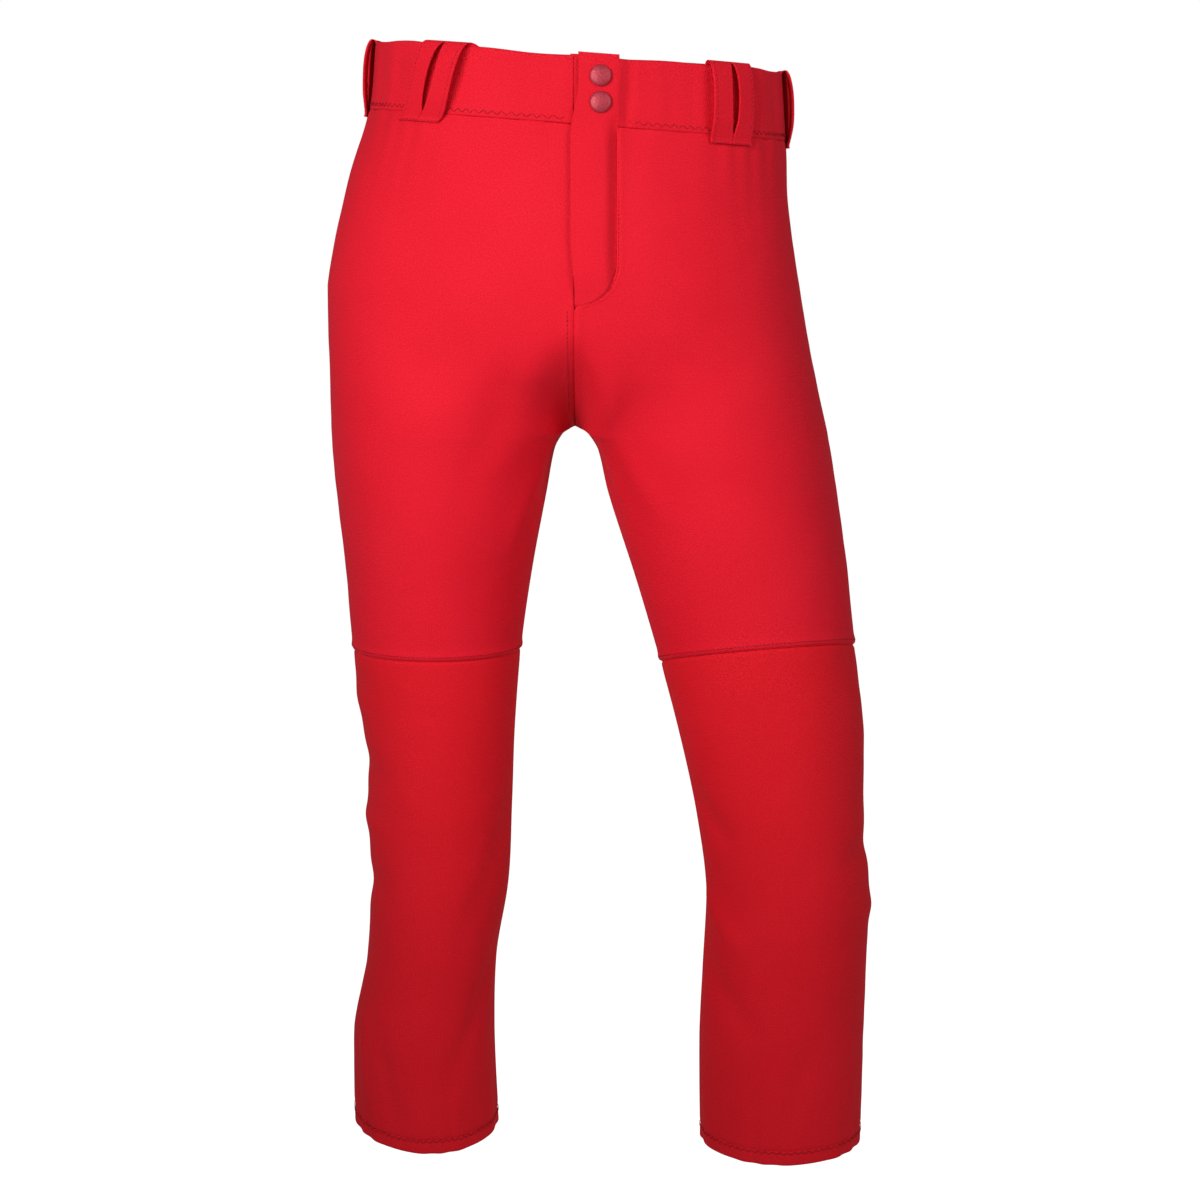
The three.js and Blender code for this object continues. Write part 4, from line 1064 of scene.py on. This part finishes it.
# back pockets, pocket bags and label
pocket = {"x": 80, "width": 120, "depth": 105, "welt": 12, "bag": 130, "lip": 1.7}
for side in sides:
    def weltAt(a, b, off, side=side):
        d = pocket["depth"] + b * pocket["welt"]
        u = uAt(side, pocket["x"] + between(-pocket["width"] / 2, pocket["width"] / 2, a), d, True)
        fall = 0.5 * np.exp(-(((b - 0.08) / 0.05) ** 2))
        return lifted(side, u, d, wornOff(side, u, d) + 0.5 + pocket["lip"] + off - fall)

    patch(f"pocket_welt_{side}", weltAt, (pocket["width"], pocket["welt"]), 1.6, "knit", "pelvis",
          [f"pocket_welt_{side}"], 2.0)

    def bagAt(a, b, off, side=side):
        d = pocket["depth"] + b * pocket["bag"]
        half = (pocket["width"] / 2 - 4) * (1 - 0.25 * b)
        u = uAt(side, pocket["x"] + between(-half, half, a), d, True)
        return lifted(side, u, d, wornOff(side, u, d) - 3.0 + off)

    piece = patch(f"pocket_bag_{side}", bagAt, (pocket["width"] - 8, pocket["bag"]), 0.8, "pocketing", None,
                  [f"pocket_bag_{side}"], 4.0)
    bendAtHip(piece)
    outline = []
    for b in (0.14, 1.22):
        a = np.linspace(-pocket["width"] / 2 - 2, pocket["width"] / 2 + 2, 60)
        d = np.full(60, pocket["depth"] + b * pocket["welt"])
        u = uAt(side, pocket["x"] + a, d, True)
        off = wornOff(side, u, d) + (2.1 if b < 1 else 0.05)
        outline.append((lifted(side, u, d, off), normalAt(side, u, d)))
    seamStitches(f"pocket_stitches_{side}", outline, "pelvis")


def labelAt(a, b, off):
    d = between(12, 40, b)
    curl = 0.6 * b * b
    return lifted("left", uAt("left", between(4, 34, a), d, True), d, bandOff(1.0, d) - 4.5 - curl + off)


patch("care_label", labelAt, (30, 28), 0.5, "label", "pelvis", ["care_label"], 2.0)
print("stage: pockets and label")


# zip
chain = {"x": 9.5, "top": 53, "bottom": 160, "pitch": 1.4, "wire": 0.3, "depth": 2.7}
zipTop, zipFoot = frontPoint(chain["x"], chain["top"], 0), frontPoint(chain["x"], chain["bottom"], 0)
zipUp = (zipTop - zipFoot) / np.linalg.norm(zipTop - zipFoot)
zipIn = np.cross(zipUp, [1.0, 0, 0])
zipIn = zipIn / np.linalg.norm(zipIn)


# a round wire along a line of points
def wire(name, path, radius, sidesRound, slot, body, replaced):
    along = np.gradient(path, axis=0)
    along = along / np.linalg.norm(along, axis=-1, keepdims=True)
    first = np.cross(along, zipUp)
    first = first / np.linalg.norm(first, axis=-1, keepdims=True)
    second = np.cross(along, first)
    angle = np.arange(sidesRound) / sidesRound * 2 * np.pi
    ring = path[:, None] + radius * (np.cos(angle)[None, :, None] * first[:, None]
                                     + np.sin(angle)[None, :, None] * second[:, None])
    faces = [list(quad) for quad in gridFaces(len(path), sidesRound, 0, False, True)]
    last = (len(path) - 1) * sidesRound
    faces += [list(range(sidesRound))[::-1], [last + i for i in range(sidesRound)]]
    return meshObject(name, ring.reshape(-1, 3), faces, None, slot, body, replaced)


for side in sides:
    turns = int(np.linalg.norm(zipTop - zipFoot) / chain["pitch"])
    t = np.linspace(0, turns, turns * 10 + 1)
    xLocal = signOf[side] * (0.95 + 0.62 * np.cos(2 * np.pi * t))
    inwards = chain["depth"] + 0.55 * np.sin(2 * np.pi * t)
    offset = 0 if side == "right" else chain["pitch"] / 2
    down = t * chain["pitch"] * (1 - 0.7 / turns) + offset
    path = zipTop[None] + xLocal[:, None] * np.array([1.0, 0, 0]) + inwards[:, None] * zipIn - down[:,
            None] * zipUp
    body = "pelvis" if side == "right" else None
    piece = wire(f"zip_coil_{side}", path, chain["wire"], 6, "coil", body, [f"zip_coil_{side}"])
    if side == "left":
        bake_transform(piece)

    def tapeAt(a, b, off, side=side):
        d = between(chain["top"] - 3, chain["bottom"] + 3, b)
        if side == "right":
            x = chain["x"] - 1.85 - a * 12
            return frontPoint(x, d, off - 1.8)
        x = chain["x"] + 1.85 + a * np.minimum(12, jStitch(d) - 12.25)
        climb = between(-1.8, smoothLift(x, d) - 3.35, smooth((a - 0.33) / 0.5))
        return frontPoint(x, d, off + climb)

    piece = patch(f"zip_tape_{side}", tapeAt, (12, 113), 0.6, "zip_nylon", body, [f"zip_tape_{side}"], 1.5)
    if side == "left":
        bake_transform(piece)
for node in ("zip_slider", "zip_pull", "zip_top_stop_right", "zip_top_stop_left", "zip_bottom_stop"):
    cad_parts[node].data.materials.clear()
    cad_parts[node].data.materials.append(materials["stud_brass"])
print("stage: zip")


# press studs: a point is drawn out along the profile and spun
snap = {"x": 18.4, "depths": {"upper": 14, "lower": 32}, "radius": 7.5, "steps": 48, "pebble": 0.1}


def spun(name, profile, steps):
    bpy.ops.object.select_all(action="DESELECT")
    bpy.ops.mesh.primitive_plane_add(size=0.0001, location=(0, 0, 0))
    piece = bpy.context.active_object
    piece.name = piece.data.name = name
    bpy.ops.object.mode_set(mode="EDIT")
    bpy.ops.mesh.select_all(action="SELECT")
    bpy.ops.mesh.merge(type="CENTER")
    bpy.ops.transform.translate(value=(profile[0][0] * mm, 0, profile[0][1] * mm))
    for (r0, h0), (r1, h1) in zip(profile[:-1], profile[1:]):
        bpy.ops.mesh.extrude_vertices_move(TRANSFORM_OT_translate={"value": ((r1 - r0) * mm, 0,
                (h1 - h0) * mm)})
    bpy.ops.mesh.select_all(action="SELECT")
    bpy.ops.mesh.spin(steps=steps, angle=2 * math.pi, center=(0, 0, 0), axis=(0, 0, 1))
    bpy.ops.mesh.select_all(action="SELECT")
    bpy.ops.mesh.remove_doubles(threshold=1e-6)
    bpy.ops.mesh.normals_make_consistent(inside=False)
    bpy.ops.object.mode_set(mode="OBJECT")
    return piece


# radius and height outwards; the cap's dome is an arc
capBase = 4.7
dome = [(snap["radius"] * math.cos(t), capBase + 0.5 + 1.75 * math.sin(t))
        for t in np.linspace(0, math.pi / 2, 15)]
profiles = {
    "snap_cap": [(0, 2.2), (1.6, 2.2), (1.6, capBase), (7.1, capBase), (7.4, capBase + 0.15)] + dome[:-1]
    + [(0, capBase + 2.25)],
    "snap_socket": [(2.5, 0.4), (5.0, 0.4), (5.45, 0.6), (5.6, 1.0), (5.6, 1.9), (5.3, 2.15), (4.4, 2.15),
                    (4.1, 1.6), (2.9, 1.5),
                    (2.5, 1.2), (2.5, 0.4)],
    "snap_stud": [(0, -0.7), (5.0, -0.7), (5.2, -0.5), (5.0, -0.1), (3.0, 0.05), (1.8, 0.1), (1.75, 0.7),
                  (2.0, 1.2), (1.9, 1.6),
                  (1.5, 1.85), (0, 1.9)],
    "snap_rivet": [(0, -4.6), (4.8, -4.6), (5.3, -4.3), (5.3, -3.85), (1.6, -3.75), (1.5, -1.0), (0, -1.0)],
}
bodies = {"snap_cap": "fly", "snap_socket": "fly", "snap_stud": "pelvis", "snap_rivet": "pelvis"}


# x to the wearer's left, z outwards from the cloth
def studFrame(depth):
    top, foot = frontPoint(snap["x"], depth, 0), frontPoint(snap["x"], depth + 12, 0)
    up = (top - foot) / np.linalg.norm(top - foot)
    out = np.cross([1.0, 0, 0], up)
    out = out / np.linalg.norm(out)
    return Matrix([[1, 0, 0, 0], [0, up[1], out[1], 0], [0, up[2], out[2], 0], [0, 0, 0, 1]]), top * mm


for kind, profile in profiles.items():
    first = spun(kind, profile, snap["steps"])
    if kind == "snap_cap":
        # pebbles stamped into the dome
        for vertex in first.data.vertices:
            p = vertex.co / mm
            if p.z > capBase + 0.6:
                vertex.co.z += snap["pebble"] * noise.noise(Vector(p) * 1.5) * mm
    bpy.ops.object.shade_smooth_by_angle(angle=math.radians(40))
    for which, depth in snap["depths"].items():
        piece = first.copy()
        piece.data = first.data.copy()
        piece.name = piece.data.name = f"{kind}_{which}.turned"
        bpy.context.scene.collection.objects.link(piece)
        turn3, place = studFrame(depth)
        piece.data.transform(Matrix.Translation(place) @ turn3)
        slot = "snap_enamel" if kind == "snap_cap" else "stud_brass"
        piece.data.materials.clear()
        piece.data.materials.append(materials[slot])
        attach(piece, bodies[kind])
        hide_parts(f"{kind}_{which}")
    bpy.data.objects.remove(first)
print("stage: press studs")


# camera, lights and floor
shot = {"aim": (0.018, 0, -0.392), "azimuth": 0, "distance": 2.5, "rise": 0.332, "lens": 103.6,
        "floor": -1.05}
camera = bpy.data.objects.new("camera", bpy.data.cameras.new("camera"))
bpy.context.scene.collection.objects.link(camera)
camera.data.lens = shot["lens"]
away = math.radians(shot["azimuth"])
aim = Vector(shot["aim"])
camera.location = aim + Vector((math.sin(away), -math.cos(away), 0)) * shot["distance"] + Vector((0, 0,
        shot["rise"]))
camera.rotation_euler = (aim - camera.location).to_track_quat("-Z", "Y").to_euler()
bpy.context.scene.camera = camera


def areaLight(name, place, target, size, power, spread):
    light = bpy.data.lights.new(name, "AREA")
    light.shape = "RECTANGLE"
    light.size, light.size_y = size
    light.energy = power
    light.spread = math.radians(spread)
    lamp = bpy.data.objects.new(name, light)
    bpy.context.scene.collection.objects.link(lamp)
    lamp.location = place
    lamp.rotation_euler = (Vector(target) - Vector(place)).to_track_quat("-Z", "Y").to_euler()


areaLight("keySoftbox", (-0.6, -1.15, 0.15), (0, 0, -0.2), (0.7, 0.7), 2.1, 62)
areaLight("fillSoftbox", (1.2, -1.6, 0.45), (0.1, 0, -0.15), (1.0, 1.0), 4.2, 105)

studio = {"room": 0.22, "paper": 0.88}
bpy.ops.object.select_all(action="DESELECT")
bpy.ops.mesh.primitive_plane_add(size=24, location=(0, 0, shot["floor"]))
floor = bpy.context.active_object
floor.name = "floor"
paint, paintShader = newMaterial("whiteStudioFloor")
objectPlace = addNode(paint, "ShaderNodeTexCoord").outputs["Object"]
spots = addNode(paint, "ShaderNodeTexNoise", {"Scale": 1.5}, [("Vector", objectPlace)])
paintColour = colourRamp(paint, spots.outputs["Fac"], [(0.3, "#F4F4F4"), (0.7, "#FAFAFA")])
paint.node_tree.links.new(paintColour, paintShader.inputs["Base Color"])
paintShader.inputs["Roughness"].default_value = 0.9
# the lamps of a white studio light the paper itself as well
seen = addNode(paint, "ShaderNodeLightPath").outputs["Is Camera Ray"]
glow = addNode(paint, "ShaderNodeMath", {"operation": "MULTIPLY", 1: studio["paper"]},
               [(0, seen)]).outputs[0]
paint.node_tree.links.new(paintColour, paintShader.inputs["Emission Color"])
paint.node_tree.links.new(glow, paintShader.inputs["Emission Strength"])
floor.data.materials.append(paint)

world = bpy.data.worlds.new("studio")
bpy.context.scene.world = world
world.use_nodes = True
background = world.node_tree.nodes["Background"]
background.inputs["Color"].default_value = (1, 1, 1, 1)
# white behind the object, a dimmer room light on it
path = addNode(world, "ShaderNodeLightPath").outputs["Is Camera Ray"]
level = addNode(world, "ShaderNodeMath", {"operation": "MULTIPLY_ADD", 1: 1 - studio["room"],
                                          2: studio["room"]}, [(0, path)])
world.node_tree.links.new(level.outputs[0], background.inputs["Strength"])
bpy.context.scene.view_settings.view_transform = "Standard"
print("stage: camera and lights")
